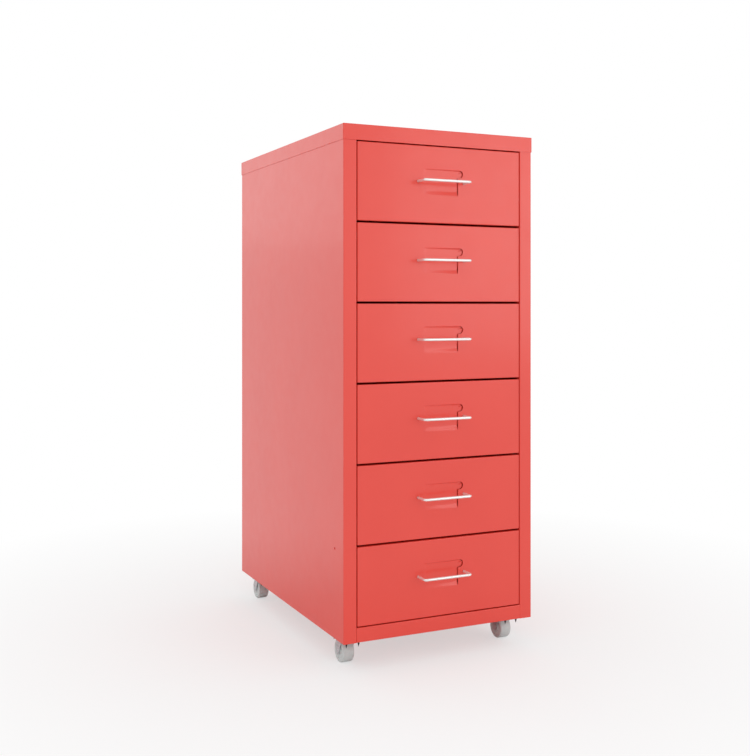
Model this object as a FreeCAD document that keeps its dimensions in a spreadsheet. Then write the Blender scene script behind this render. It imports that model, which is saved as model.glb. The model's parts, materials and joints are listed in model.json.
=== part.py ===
import FreeCAD, Part
import math
import os
import Sketcher

# A narrow steel cabinet with six drawers, on four swivel casters. Millimetres, +Z up.
# The cabinet's front faces -Y. The origin is on the floor, under the middle of the whole,
# which the handles lengthen forwards.

PARTS_FOLDER = "parts"
DRAWER_COUNT = 6
BACK_RIVET_ROWS = 5
LEFT = -1
RIGHT = 1
FRONT = -1
REAR = 1
SAME_PLACE = 1e-3
SAME_DIRECTION = 1e-4

# Driving dimensions
SIZES = {
    # Carcass
    "cabinet_width": 280.0,
    "cabinet_depth": 410.0,
    "cabinet_height": 690.0,
    "underside_height": 37.0,
    "gauge": 0.8,
    "bend_radius": 1.0,
    "cover_skirt": 20.0,
    "stile_width": 18.0,
    "stile_lip": 10.0,
    "rear_return": 20.0,
    "foot_flange": 6.0,
    "head_flange": 10.0,
    "rail_height": 18.5,
    "rail_overrun": 2.0,
    "peep_hole_diameter": 3.4,
    "peep_hole_inset": 29.0,
    "peep_hole_height": 152.0,
    "back_field_margin": 32.0,
    "back_field_depth": 2.0,
    "base_notch_gap": 0.5,
    # Rivets
    "rivet_diameter": 3.2,
    "rivet_head_diameter": 6.4,
    "rivet_head_height": 0.7,
    "rivet_hole_gap": 0.05,
    "rail_rivet_inset": 6.0,
    "back_rivet_end_margin": 40.0,
    # Drawer fronts
    "drawer_gap": 2.6,
    "end_gap": 1.4,
    "side_gap": 1.2,
    "front_overrun": 2.0,
    "front_flange": 14.0,
    "front_hem": 6.0,
    # Label recess
    "label_left": 26.5,
    "label_right": 25.0,
    "label_drop": 29.7,
    "label_height": 34.5,
    "label_depth": 2.0,
    "label_corner": 2.5,
    "thumb_radius": 5.0,
    "thumb_reach": 32.4,
    "thumb_blend": 0.9,
    # Handles
    "handle_reach": 20.8,
    "handle_span": 68.0,
    "handle_drop": 46.2,
    "wire_diameter": 3.5,
    "wire_bend": 3.6,
    "wire_tail": 4.5,
    "wire_hole_gap": 0.05,
    "nut_diameter": 10.0,
    "nut_gauge": 0.6,
    # Drawer boxes and runners
    "tray_lift": 8.0,
    "tray_height": 80.0,
    "tray_rear_gap": 17.0,
    "wall_end_gap": 0.1,
    "rim_width": 7.2,
    "rim_hem": 5.0,
    "ear_reach": 7.0,
    "ear_thickness": 1.6,
    "drawer_travel": 290.0,
    "stop_gap": 0.3,
    "runner_height": 8.0,
    "runner_gap": 0.3,
    "guide_gap": 0.8,
    "runner_front_gap": 1.0,
    "runner_return": 16.0,
    # Casters
    "caster_side_inset": 21.5,
    "caster_end_inset": 40.0,
    "plate_width": 26.0,
    "plate_length": 48.0,
    "plate_gauge": 1.5,
    "plate_corner": 3.0,
    "swivel_gap": 0.3,
    "kingpin_diameter": 5.0,
    "kingpin_head_diameter": 9.0,
    "kingpin_head_height": 1.2,
    "pin_hole_gap": 0.05,
    "running_gap": 0.1,
    "fork_gauge": 1.3,
    "crown_front": 8.5,
    "crown_rear": 9.5,
    "leg_boss_radius": 4.5,
    "wheel_diameter": 30.0,
    "wheel_width": 16.0,
    "wheel_trail": 6.0,
    "wheel_side_gap": 0.4,
    "tread_round": 3.0,
    "hub_radius": 5.0,
    "web_radius": 11.0,
    "web_recess": 1.6,
    "axle_diameter": 4.0,
    "axle_head_diameter": 6.0,
    "axle_head_height": 0.8,
    # Caster screws
    "screw_diameter": 3.0,
    "screw_pitch_x": 17.0,
    "screw_pitch_y": 40.0,
    "screw_head_diameter": 6.5,
    "screw_head_height": 1.8,
    "screw_tip_height": 25.5,
    "screw_point": 3.5,
    "screw_tip_diameter": 0.3,
}

doc = FreeCAD.newDocument("drawer_cabinet")
sheet = doc.addObject("Spreadsheet::Sheet", "Sizes")
sub_parts = []


class Size:
    """A length of the sheet, or one worked out from it: the text is bound, the value is read."""

    def __init__(self, text, value):
        self.text = text
        self.value = value

    def __add__(self, other):
        other = as_size(other)
        return Size("(%s + %s)" % (self.text, other.text), self.value + other.value)

    def __sub__(self, other):
        other = as_size(other)
        return Size("(%s - %s)" % (self.text, other.text), self.value - other.value)

    def __mul__(self, other):
        other = as_size(other)
        return Size("(%s * %s)" % (self.text, other.text), self.value * other.value)

    def __truediv__(self, other):
        other = as_size(other)
        return Size("(%s / %s)" % (self.text, other.text), self.value / other.value)

    def __neg__(self):
        return self * -1

    def __rmul__(self, other):
        return self * other


def as_size(thing):
    """Return a Size as it is, and a plain number as a Size."""
    if isinstance(thing, Size):
        return thing
    return Size("(%r)" % float(thing), float(thing))


def read_sizes():
    """Write the driving dimensions into the sheet and return them as Size values by name."""
    for row, (name, value) in enumerate(SIZES.items(), start=1):
        sheet.set("A%d" % row, name)
        sheet.set("B%d" % row, str(value))
        sheet.setAlias("B%d" % row, name)
    doc.recompute()
    return {name: Size("Sizes.%s" % name, value) for name, value in SIZES.items()}


class Layout:
    """The sheet's sizes, and the faces and levels that several sub-parts share."""

    def __init__(self, sizes):
        for name, value in sizes.items():
            setattr(self, name, value)

        # Across
        self.cover_half = self.cabinet_width / 2
        self.carcass_half = self.cover_half - self.gauge
        self.panel_inside = self.carcass_half - self.gauge
        self.bay_half = self.carcass_half - self.stile_width
        self.front_half = self.bay_half - self.side_gap
        self.tray_half = self.front_half - self.rim_width
        self.caster_x = self.cover_half - self.caster_side_inset

        # From front to rear
        self.rail_depth = self.stile_lip + self.rail_overrun
        self.front_depth = self.stile_lip + self.front_overrun
        self.overall_depth = self.cabinet_depth + self.handle_reach - self.gauge
        self.cover_rear = self.overall_depth / 2
        self.cover_front = self.cover_rear - self.cabinet_depth
        self.face = self.cover_front + self.gauge
        self.carcass_rear = self.cover_rear - self.gauge
        self.back_outside = self.carcass_rear - self.gauge
        self.back_inside = self.back_outside - self.gauge
        self.lip_rear = self.face + self.stile_lip
        self.runner_front = self.face + self.front_depth + self.runner_front_gap
        self.tray_length = self.back_inside - self.face - self.tray_rear_gap - self.front_depth
        self.caster_front = self.cover_front + self.caster_end_inset
        self.caster_rear = self.cover_rear - self.caster_end_inset

        # Up
        self.cover_underside = self.cabinet_height - self.gauge
        self.bay_top = self.cabinet_height - self.cover_skirt
        self.bay_bottom = self.underside_height + self.rail_height
        self.base_underside = self.underside_height + self.gauge
        self.base_top = self.base_underside + self.gauge
        gaps = self.drawer_gap * (DRAWER_COUNT - 1) + self.end_gap * 2
        self.front_height = (self.bay_top - self.bay_bottom - gaps) / DRAWER_COUNT
        self.drawer_pitch = self.front_height + self.drawer_gap
        self.floor_level = self.tray_lift + self.gauge
        self.rim_level = self.tray_lift + self.tray_height
        self.ledge_level = self.rim_level - self.gauge - self.runner_gap
        self.plate_underside = self.base_underside - self.plate_gauge
        self.crown_top = self.plate_underside - self.swivel_gap
        self.crown_underside = self.crown_top - self.fork_gauge
        self.wheel_radius = self.wheel_diameter / 2

    def drawer_bottom(self, number):
        """Return the level of a front's lower edge. Drawer 1 is the top one."""
        below = DRAWER_COUNT - number
        return self.bay_bottom + self.end_gap + self.drawer_pitch * below


at = Layout(read_sizes())


def bind(thing, name, size):
    """Tie one property of an object to the sheet."""
    thing.setExpression(name, as_size(size).text)


def new_body(name):
    """Start a sub-part whose Label names its file."""
    body = doc.addObject("PartDesign::Body", name)
    body.Label = name
    sub_parts.append(body)
    return body


def new_group(name):
    """Start a sub-part of identical separate solids."""
    body = new_body(name)
    body.AllowCompound = True
    return body


def place(thing, x=0, y=0, z=0):
    """Move a sub-part to its seat."""
    bind(thing, "Placement.Base.x", x)
    bind(thing, "Placement.Base.y", y)
    bind(thing, "Placement.Base.z", z)


def new_sketch(body, plane, across=0, up=0, out=0):
    """Return a sketch on one of the body's origin planes, moved within it and along its normal.

    XY_Plane looks down with normal +Z, XZ_Plane looks at the front with normal -Y, and
    YZ_Plane looks from the right with normal +X.
    """
    number = len([item for item in body.Group if item.isDerivedFrom("Sketcher::SketchObject")])
    sketch = body.newObject("Sketcher::SketchObject", "%s_sketch_%d" % (body.Name, number + 1))
    support = [item for item in body.Origin.OriginFeatures if item.Role == plane]
    sketch.AttachmentSupport = [(support[0], "")]
    sketch.MapMode = "FlatFace"
    bind(sketch, "AttachmentOffset.Base.x", across)
    bind(sketch, "AttachmentOffset.Base.y", up)
    bind(sketch, "AttachmentOffset.Base.z", out)
    return sketch


def constrain(sketch, kind, size, *items):
    """Add one dimension to a sketch and tie it to the sheet."""
    size = as_size(size)
    index = sketch.addConstraint(Sketcher.Constraint(kind, *items, size.value))
    sketch.setExpression("Constraints[%d]" % index, size.text)


def arc_through(start, end, radius, side):
    """Return an arc between two points that bulges to the right (1) or left (-1) of its chord."""
    chord = end - start
    half = chord.Length / 2
    sagitta = radius - math.sqrt(max(radius ** 2 - half ** 2, 0.0))
    outwards = FreeCAD.Vector(chord.y, -chord.x, 0).normalize()
    middle = (start + end) / 2 + outwards * (sagitta * side)
    return Part.Arc(start, middle, end)


def draw_edges(sketch, points, arcs, closed):
    """Draw lines and arcs from point to point, each point and radius tied to the sheet.

    An edge's number is that of the point it starts from. arcs gives the radius and the side of
    the edges that aren't straight.
    """
    points = [(as_size(x), as_size(y)) for x, y in points]
    vectors = [FreeCAD.Vector(x.value, y.value, 0) for x, y in points]
    edge_count = len(points) if closed else len(points) - 1
    starts = []
    ends = []
    for index in range(edge_count):
        start = vectors[index]
        end = vectors[(index + 1) % len(vectors)]
        if index in arcs:
            radius, side = arcs[index]
            edge = arc_through(start, end, as_size(radius).value, side)
        else:
            edge = Part.LineSegment(start, end)
        geometry = sketch.addGeometry(edge, False)
        first_point = sketch.getPoint(geometry, 1)
        runs_forwards = (first_point - start).Length < (first_point - end).Length
        starts.append((geometry, 1 if runs_forwards else 2))
        ends.append((geometry, 2 if runs_forwards else 1))
        if index in arcs:
            constrain(sketch, "Radius", radius, geometry)
    for index, end in enumerate(ends):
        if index + 1 < edge_count or closed:
            following = starts[(index + 1) % edge_count]
            sketch.addConstraint(Sketcher.Constraint("Coincident", *end, *following))
    corners = starts if closed else starts + ends[-1:]
    for corner, (x, y) in zip(corners, points):
        constrain(sketch, "DistanceX", x, -1, 1, *corner)
        constrain(sketch, "DistanceY", y, -1, 1, *corner)


def draw_outline(sketch, points, arcs=None):
    """Draw a closed outline."""
    draw_edges(sketch, points, arcs or {}, True)


def draw_path(sketch, points, arcs):
    """Draw an open path."""
    draw_edges(sketch, points, arcs, False)


def draw_rectangle(sketch, left, right, bottom, top):
    """Draw a rectangle between four lines of the sketch's plane."""
    draw_outline(sketch, [(left, bottom), (right, bottom), (right, top), (left, top)])


def draw_circle(sketch, x, y, radius):
    """Draw a circle about a point of the sketch's plane."""
    x = as_size(x)
    y = as_size(y)
    centre = FreeCAD.Vector(x.value, y.value, 0)
    circle = Part.Circle(centre, FreeCAD.Vector(0, 0, 1), as_size(radius).value)
    geometry = sketch.addGeometry(circle, False)
    constrain(sketch, "DistanceX", x, -1, 1, geometry, 3)
    constrain(sketch, "DistanceY", y, -1, 1, geometry, 3)
    constrain(sketch, "Radius", radius, geometry)


def grow(body, kind, sketch, length, backwards=False):
    """Add a Pad or a Pocket of the sketch, along its normal or backwards."""
    feature = body.newObject("PartDesign::%s" % kind, "%s_%s" % (sketch.Name, kind.lower()))
    feature.Profile = sketch
    bind(feature, "Length", length)
    feature.Reversed = backwards
    sketch.Visibility = False
    return feature


def pad(body, sketch, length, backwards=False):
    """Add material from a sketch, along its normal or backwards."""
    return grow(body, "Pad", sketch, length, backwards)


def pocket(body, sketch, length, backwards=False):
    """Cut from a sketch against its normal, or along it when backwards."""
    return grow(body, "Pocket", sketch, length, backwards)


def turn(body, sketch):
    """Turn a sketch a full round about its own horizontal axis."""
    feature = body.newObject("PartDesign::Revolution", "%s_turned" % sketch.Name)
    feature.Profile = sketch
    feature.ReferenceAxis = (sketch, ["H_Axis"])
    feature.Angle = 360.0
    sketch.Visibility = False
    return feature


def straight_edges(shape, direction, places):
    """Return the names of the straight edges along a direction that pass through given places.

    A place is (x, y, z) with None for what it leaves open.
    """
    names = []
    for index, edge in enumerate(shape.Edges, start=1):
        if edge.Curve.TypeId != "Part::GeomLine":
            continue
        start = edge.Vertexes[0].Point
        run = edge.Vertexes[-1].Point - start
        if run.cross(direction).Length > SAME_DIRECTION * run.Length:
            continue
        for place_wanted in places:
            wanted = [None if value is None else as_size(value).value for value in place_wanted]
            misses = [abs(have - want) for have, want in zip(start, wanted) if want is not None]
            if max(misses) < SAME_PLACE:
                names.append("Edge%d" % index)
                break
    return names


def round_edges(body, radius, choices):
    """Fillet a body's straight edges. choices lists (direction, places) pairs."""
    doc.recompute()
    base = body.Tip
    names = []
    for direction, places in choices:
        names += straight_edges(base.Shape, direction, places)
    if not names:
        raise RuntimeError("no edges to round on %s" % body.Name)
    feature = body.newObject("PartDesign::Fillet", "%s_rounded" % base.Name)
    feature.Base = (base, names)
    bind(feature, "Radius", radius)
    return feature


ALONG_X = FreeCAD.Vector(1, 0, 0)
ALONG_Y = FreeCAD.Vector(0, 1, 0)
ALONG_Z = FreeCAD.Vector(0, 0, 1)


# Carcass


def side_panel(name, side):
    """A folded side: outer wall, front stile with its lip, rear return, foot and head flanges."""
    body = new_body(name)
    outer = at.carcass_half * side
    inner = at.panel_inside * side
    bay = at.bay_half * side
    lip = (at.bay_half + at.gauge) * side
    rear_edge = (at.carcass_half - at.rear_return) * side
    profile = new_sketch(body, "XY_Plane", out=at.underside_height)
    draw_outline(profile, [
        (outer, at.face),
        (outer, at.carcass_rear),
        (rear_edge, at.carcass_rear),
        (rear_edge, at.back_outside),
        (inner, at.back_outside),
        (inner, at.face + at.gauge),
        (lip, at.face + at.gauge),
        (lip, at.lip_rear),
        (bay, at.lip_rear),
        (bay, at.face),
    ])
    pad(body, profile, at.cover_underside - at.underside_height)

    foot = new_sketch(body, "XY_Plane", out=at.underside_height)
    foot_edge = (at.panel_inside - at.foot_flange) * side
    draw_outline(foot, [
        (inner, at.face + at.gauge),
        (foot_edge, at.face + at.gauge),
        (foot_edge, at.back_outside),
        (inner, at.back_outside),
    ])
    pad(body, foot, at.gauge)

    head = new_sketch(body, "XY_Plane", out=at.cover_underside)
    head_edge = (at.panel_inside - at.head_flange) * side
    draw_outline(head, [
        (inner, at.face + at.gauge),
        (head_edge, at.face + at.gauge),
        (head_edge, at.back_outside),
        (inner, at.back_outside),
    ])
    pad(body, head, at.gauge, backwards=True)

    hole = new_sketch(body, "YZ_Plane", out=outer)
    draw_circle(hole, at.cover_front + at.peep_hole_inset, at.peep_hole_height, at.peep_hole_diameter / 2)
    pocket(body, hole, at.gauge, backwards=side == LEFT)

    round_edges(body, at.bend_radius, [(ALONG_Z, [
        (outer, at.face, None),
        (bay, at.face, None),
        (outer, at.carcass_rear, None),
    ])])
    return body


def rivet_rows():
    """Return the levels of the back panel's rivets."""
    low = at.base_top + at.back_rivet_end_margin
    high = at.cover_underside - at.back_rivet_end_margin
    steps = BACK_RIVET_ROWS - 1
    return [low + (high - low) * (step / steps) for step in range(BACK_RIVET_ROWS)]


def back_rivet_places():
    """Return where the back panel's rivets pass, as x and z."""
    x = at.carcass_half - at.rear_return / 2
    return [(x * side, z) for side in (LEFT, RIGHT) for z in rivet_rows()]


def back_panel():
    """The rear sheet, inside the side panels' rear returns, with a pressed middle field."""
    body = new_body("back_panel")
    top = at.cover_underside - at.gauge
    plate = new_sketch(body, "XZ_Plane", out=-at.back_outside)
    draw_rectangle(plate, -at.panel_inside, at.panel_inside, at.base_top, top)
    pad(body, plate, at.gauge)

    field_half = at.panel_inside - at.back_field_margin
    low = at.base_top + at.back_field_margin
    high = top - at.back_field_margin
    field = new_sketch(body, "XZ_Plane", out=-at.back_inside)
    draw_rectangle(field, -field_half, field_half, low, high)
    pad(body, field, at.back_field_depth)

    hollow = new_sketch(body, "XZ_Plane", out=-at.back_outside)
    inset = at.gauge
    draw_rectangle(hollow, -(field_half - inset), field_half - inset, low + inset, high - inset)
    pocket(body, hollow, at.back_field_depth, backwards=True)

    holes = new_sketch(body, "XZ_Plane", out=-at.back_outside)
    for x, z in back_rivet_places():
        draw_circle(holes, x, z, at.rivet_diameter / 2 + at.rivet_hole_gap)
    pocket(body, holes, at.gauge, backwards=True)
    return body


def back_rivets():
    """Rivets through the rear returns and the back panel, with a head on both sides."""
    body = new_group("back_rivets")
    levels = [
        (at.carcass_rear + at.rivet_head_height, at.rivet_head_height, at.rivet_head_diameter),
        (at.carcass_rear, at.gauge * 2, at.rivet_diameter),
        (at.back_inside, at.rivet_head_height, at.rivet_head_diameter),
    ]
    for y, length, diameter in levels:
        discs = new_sketch(body, "XZ_Plane", out=-y)
        for x, z in back_rivet_places():
            draw_circle(discs, x, z, diameter / 2)
        pad(body, discs, length)
    return body


def drill_returns(body, side):
    """Drill a side panel's rear return for the back panel's rivets."""
    holes = new_sketch(body, "XZ_Plane", out=-at.carcass_rear)
    for x, z in back_rivet_places():
        if x.value * side > 0:
            draw_circle(holes, x, z, at.rivet_diameter / 2 + at.rivet_hole_gap)
    pocket(body, holes, at.gauge, backwards=True)


def top_cover():
    """The lid: a shallow pan turned over, with its skirt outside the carcass."""
    body = new_body("top_cover")
    block = new_sketch(body, "XY_Plane", out=at.bay_top)
    draw_rectangle(block, -at.cover_half, at.cover_half, at.cover_front, at.cover_rear)
    pad(body, block, at.cover_skirt)
    round_edges(body, at.bend_radius, [
        (ALONG_Z, [(None, None, at.bay_top)]),
        (ALONG_X, [(None, None, at.cabinet_height)]),
        (ALONG_Y, [(None, None, at.cabinet_height)]),
    ])
    hollow = new_sketch(body, "XY_Plane", out=at.bay_top)
    draw_rectangle(hollow, -at.carcass_half, at.carcass_half, at.face, at.carcass_rear)
    pocket(body, hollow, at.cover_skirt - at.gauge, backwards=True)
    return body


def caster_places():
    """Return the four swivel axes, as a name, x and y."""
    return [
        ("front_left", -at.caster_x, at.caster_front),
        ("front_right", at.caster_x, at.caster_front),
        ("rear_left", -at.caster_x, at.caster_rear),
        ("rear_right", at.caster_x, at.caster_rear),
    ]


def plate_screw_places():
    """Return a caster's four screws about its swivel axis, as x and y."""
    half_x = at.screw_pitch_x / 2
    half_y = at.screw_pitch_y / 2
    return [(half_x * side, half_y * end) for side in (LEFT, RIGHT) for end in (FRONT, REAR)]


def all_screw_places():
    """Return every caster screw, as x and y."""
    return [
        (caster_x + x, caster_y + y)
        for name, caster_x, caster_y in caster_places()
        for x, y in plate_screw_places()
    ]


def base_panel():
    """The floor sheet on the foot flanges, notched at the front for the stiles."""
    body = new_body("base_panel")
    notch_x = at.bay_half - at.gauge - at.base_notch_gap
    notch_y = at.face + at.rail_depth + at.base_notch_gap
    front = at.face + at.gauge
    plate = new_sketch(body, "XY_Plane", out=at.base_underside)
    draw_outline(plate, [
        (-notch_x, front),
        (notch_x, front),
        (notch_x, notch_y),
        (at.panel_inside, notch_y),
        (at.panel_inside, at.back_outside),
        (-at.panel_inside, at.back_outside),
        (-at.panel_inside, notch_y),
        (-notch_x, notch_y),
    ])
    pad(body, plate, at.gauge)
    holes = new_sketch(body, "XY_Plane", out=at.base_underside)
    for x, y in all_screw_places():
        draw_circle(holes, x, y, at.screw_diameter / 2 + at.pin_hole_gap)
    pocket(body, holes, at.gauge, backwards=True)
    return body


def rail_rivet_place(bottom, top):
    """Return where the rivets at a rail's ends pass, as y and z."""
    return at.face + at.rail_rivet_inset, (bottom + top) / 2


def front_rail(name, bottom, top):
    """A front rail between the stiles: a pan with its open side to the rear."""
    body = new_body(name)
    block = new_sketch(body, "XZ_Plane", out=-at.face)
    draw_rectangle(block, -at.bay_half, at.bay_half, bottom, top)
    pad(body, block, at.rail_depth, backwards=True)
    hollow = new_sketch(body, "XZ_Plane", out=-(at.face + at.rail_depth))
    inside = at.bay_half - at.gauge
    draw_rectangle(hollow, -inside, inside, bottom + at.gauge, top - at.gauge)
    pocket(body, hollow, at.rail_depth - at.gauge, backwards=True)
    holes = new_sketch(body, "YZ_Plane", out=at.bay_half)
    draw_circle(holes, *rail_rivet_place(bottom, top), at.rivet_diameter / 2 + at.rivet_hole_gap)
    pocket(body, holes, at.bay_half * 2)
    round_edges(body, at.bend_radius, [(ALONG_X, [
        (None, at.face, bottom),
        (None, at.face, top),
    ])])
    return body


def drill_lips(body, side):
    """Drill a side panel's lip for the rails' rivets."""
    holes = new_sketch(body, "YZ_Plane", out=(at.bay_half + at.gauge) * side)
    for bottom, top in rail_levels():
        draw_circle(holes, *rail_rivet_place(bottom, top), at.rivet_diameter / 2 + at.rivet_hole_gap)
    pocket(body, holes, at.gauge, backwards=side == LEFT)


def rail_levels():
    """Return the lower and upper edges of the bottom rail and of the top one."""
    return [(at.underside_height, at.bay_bottom), (at.bay_top, at.cover_underside)]


def rail_rivets():
    """Rivets through the rails' end flanges and the stiles' lips."""
    body = new_group("rail_rivets")
    inner_face = at.bay_half - at.gauge
    outer_face = at.bay_half + at.gauge
    levels = [
        (inner_face - at.rivet_head_height, at.rivet_head_height, at.rivet_head_diameter),
        (inner_face, at.gauge * 2, at.rivet_diameter),
        (outer_face, at.rivet_head_height, at.rivet_head_diameter),
    ]
    for side in (LEFT, RIGHT):
        for x, length, diameter in levels:
            discs = new_sketch(body, "YZ_Plane", out=x * side)
            for bottom, top in rail_levels():
                draw_circle(discs, *rail_rivet_place(bottom, top), diameter / 2)
            pad(body, discs, length, backwards=side == LEFT)
    return body


def runners(name, side):
    """Six C-shaped channels on one side panel. Each one's ledge carries a drawer's rim."""
    body = new_group(name)
    section = new_sketch(body, "XZ_Plane", out=-at.runner_front)
    wall = at.panel_inside * side
    wall_inner = (at.panel_inside - at.gauge) * side
    ledge_edge = (at.tray_half + at.guide_gap) * side
    return_edge = (at.panel_inside - at.runner_return) * side
    for number in range(1, DRAWER_COUNT + 1):
        level = at.drawer_bottom(number) + at.ledge_level
        roof = level + at.runner_height
        draw_outline(section, [
            (wall, level - at.gauge),
            (wall, roof + at.gauge),
            (return_edge, roof + at.gauge),
            (return_edge, roof),
            (wall_inner, roof),
            (wall_inner, level),
            (ledge_edge, level),
            (ledge_edge, level - at.gauge),
        ])
    pad(body, section, at.back_inside - at.back_field_depth - at.runner_front, backwards=True)
    return body


# Drawers. Each is drawn with its face at y = 0 and its lower edge at z = 0, then moved up to its bay.


def seat_in_bay(body, number):
    """Move a drawer's piece to its bay."""
    place(body, y=at.face, z=at.drawer_bottom(number))


def label_outline(sketch, spread):
    """Draw the label recess, or the pressing around it when spread is the sheet's gauge.

    It is a rectangle with round corners. The upper part of its right end bulges into a round
    nose for a thumb, and runs back into the edge below through a small hollow curve.
    """
    top = at.front_height - at.label_drop
    bottom = top - at.label_height
    corner = at.label_corner
    blend = at.thumb_blend + at.gauge
    nose_x = at.thumb_reach - at.thumb_radius
    nose_bottom = top - at.thumb_radius * 2
    points = [
        (corner - at.label_left, bottom - spread),
        (at.label_right - corner, bottom - spread),
        (at.label_right + spread, bottom + corner),
        (at.label_right + spread, nose_bottom - blend),
        (at.label_right + blend, nose_bottom - spread),
        (nose_x, nose_bottom - spread),
        (at.thumb_reach + spread, top - at.thumb_radius),
        (nose_x, top + spread),
        (corner - at.label_left, top + spread),
        (-at.label_left - spread, top - corner),
        (-at.label_left - spread, bottom + corner),
    ]
    arcs = {
        1: (corner + spread, 1),
        3: (blend - spread, -1),
        5: (at.thumb_radius + spread, 1),
        6: (at.thumb_radius + spread, 1),
        8: (corner + spread, 1),
        10: (corner + spread, 1),
    }
    draw_outline(sketch, points, arcs)


def handle_places():
    """Return where the handle's legs pass the front, as x and z."""
    z = at.front_height - at.handle_drop
    return [(at.handle_span / 2 * side, z) for side in (LEFT, RIGHT)]


def drawer_front(number):
    """A folded pan with the label recess pressed in and two holes for the handle."""
    body = new_body("drawer_%d_front" % number)
    half = at.front_half
    top = at.front_height
    skin = new_sketch(body, "XZ_Plane")
    draw_rectangle(skin, -half, half, 0, top)
    pad(body, skin, at.gauge, backwards=True)

    walls = new_sketch(body, "XZ_Plane")
    draw_rectangle(walls, -half, half, 0, top)
    draw_rectangle(walls, at.gauge - half, half - at.gauge, at.gauge, top - at.gauge)
    pad(body, walls, at.front_depth, backwards=True)

    flange = new_sketch(body, "XZ_Plane", out=-at.front_depth)
    draw_rectangle(flange, -half, half, 0, top)
    opening = half - at.front_flange
    draw_rectangle(flange, -opening, opening, at.front_hem, top - at.front_hem)
    pad(body, flange, at.gauge)

    pressing = new_sketch(body, "XZ_Plane", out=-at.gauge)
    label_outline(pressing, at.gauge)
    pad(body, pressing, at.label_depth, backwards=True)

    recess = new_sketch(body, "XZ_Plane")
    label_outline(recess, as_size(0))
    pocket(body, recess, at.label_depth)

    holes = new_sketch(body, "XZ_Plane")
    for x, z in handle_places():
        draw_circle(holes, x, z, at.wire_diameter / 2 + at.wire_hole_gap)
    pocket(body, holes, at.gauge)

    round_edges(body, at.bend_radius, [
        (ALONG_X, [(None, 0, 0), (None, 0, top)]),
        (ALONG_Z, [(-half, 0, None), (half, 0, None)]),
    ])
    seat_in_bay(body, number)
    return body


def drawer_floor(number):
    """The drawer's floor sheet, under its four walls."""
    body = new_body("drawer_%d_floor" % number)
    plate = new_sketch(body, "XY_Plane", out=at.tray_lift)
    rear = at.front_depth + at.tray_length
    draw_rectangle(plate, -at.tray_half, at.tray_half, at.front_depth, rear)
    pad(body, plate, at.gauge)
    seat_in_bay(body, number)
    return body


def drawer_walls(number):
    """The drawer's four walls: the sides carry the rims that ride on the runners, and stop ears."""
    body = new_group("drawer_%d_walls" % number)
    ear_front = at.stile_lip + at.drawer_travel + at.stop_gap
    for side in (LEFT, RIGHT):
        outer = at.tray_half * side
        inner = (at.tray_half - at.gauge) * side
        edge = at.front_half * side
        hem = (at.front_half - at.gauge) * side
        high = at.rim_level + at.rim_hem
        wall = new_sketch(body, "XZ_Plane", out=-at.front_depth)
        draw_outline(wall, [
            (inner, at.floor_level),
            (outer, at.floor_level),
            (outer, at.rim_level - at.gauge),
            (edge, at.rim_level - at.gauge),
            (edge, high),
            (hem, high),
            (hem, at.rim_level),
            (inner, at.rim_level),
        ])
        pad(body, wall, at.tray_length, backwards=True)

        ear = new_sketch(body, "XZ_Plane", out=-ear_front)
        tip = (at.front_half + at.ear_reach) * side
        draw_outline(ear, [(hem, at.rim_level), (tip, at.rim_level), (tip, high), (hem, high)])
        pad(body, ear, at.ear_thickness, backwards=True)

    end_half = at.tray_half - at.gauge - at.wall_end_gap
    for end_face in (at.front_depth, at.front_depth + at.tray_length - at.gauge):
        end = new_sketch(body, "XZ_Plane", out=-end_face)
        draw_rectangle(end, -end_half, end_half, at.floor_level, at.rim_level)
        pad(body, end, at.gauge, backwards=True)
    seat_in_bay(body, number)
    return body


def drawer_handle(number):
    """A bent wire: two legs through the front, joined by a bar."""
    body = new_body("drawer_%d_handle" % number)
    (left, level), (right, level) = handle_places()
    radius = at.wire_diameter / 2
    bar = radius - at.handle_reach
    tail = at.gauge + at.wire_tail
    bend = at.wire_bend
    route = new_sketch(body, "XY_Plane", out=level)
    draw_path(route, [
        (left, tail),
        (left, bar + bend),
        (left + bend, bar),
        (right - bend, bar),
        (right, bar + bend),
        (right, tail),
    ], {1: (bend, 1), 3: (bend, 1)})
    section = new_sketch(body, "XZ_Plane", out=-tail)
    draw_circle(section, left, level, radius)
    wire = body.newObject("PartDesign::AdditivePipe", "%s_wire" % body.Name)
    wire.Profile = section
    wire.Spine = (route, ["Edge%d" % (index + 1) for index in range(5)])
    section.Visibility = False
    route.Visibility = False
    seat_in_bay(body, number)
    return body


def push_nuts(number):
    """Two spring washers that grip the handle's legs behind the front."""
    body = new_group("drawer_%d_push_nuts" % number)
    rings = new_sketch(body, "XZ_Plane", out=-at.gauge)
    for x, z in handle_places():
        draw_circle(rings, x, z, at.nut_diameter / 2)
        draw_circle(rings, x, z, at.wire_diameter / 2 + at.wire_hole_gap)
    pad(body, rings, at.nut_gauge, backwards=True)
    seat_in_bay(body, number)
    return body


# Casters. Plate, fork, axle and wheel are drawn about the swivel axis, with z = 0 on the floor,
# then moved to their corner.


def caster_plate(corner, x, y):
    """The fixed plate under the base panel, with holes for its screws and kingpin."""
    body = new_body("caster_plate_%s" % corner)
    plate = new_sketch(body, "XY_Plane", out=at.plate_underside)
    half_x = at.plate_width / 2
    half_y = at.plate_length / 2
    draw_rectangle(plate, -half_x, half_x, -half_y, half_y)
    draw_circle(plate, 0, 0, at.kingpin_diameter / 2 + at.pin_hole_gap)
    for screw_x, screw_y in plate_screw_places():
        draw_circle(plate, screw_x, screw_y, at.screw_diameter / 2 + at.pin_hole_gap)
    pad(body, plate, at.plate_gauge)
    round_edges(body, at.plate_corner, [(ALONG_Z, [
        (half_x * side, half_y * end, None) for side in (LEFT, RIGHT) for end in (FRONT, REAR)
    ])])
    place(body, x, y)
    return body


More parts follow.
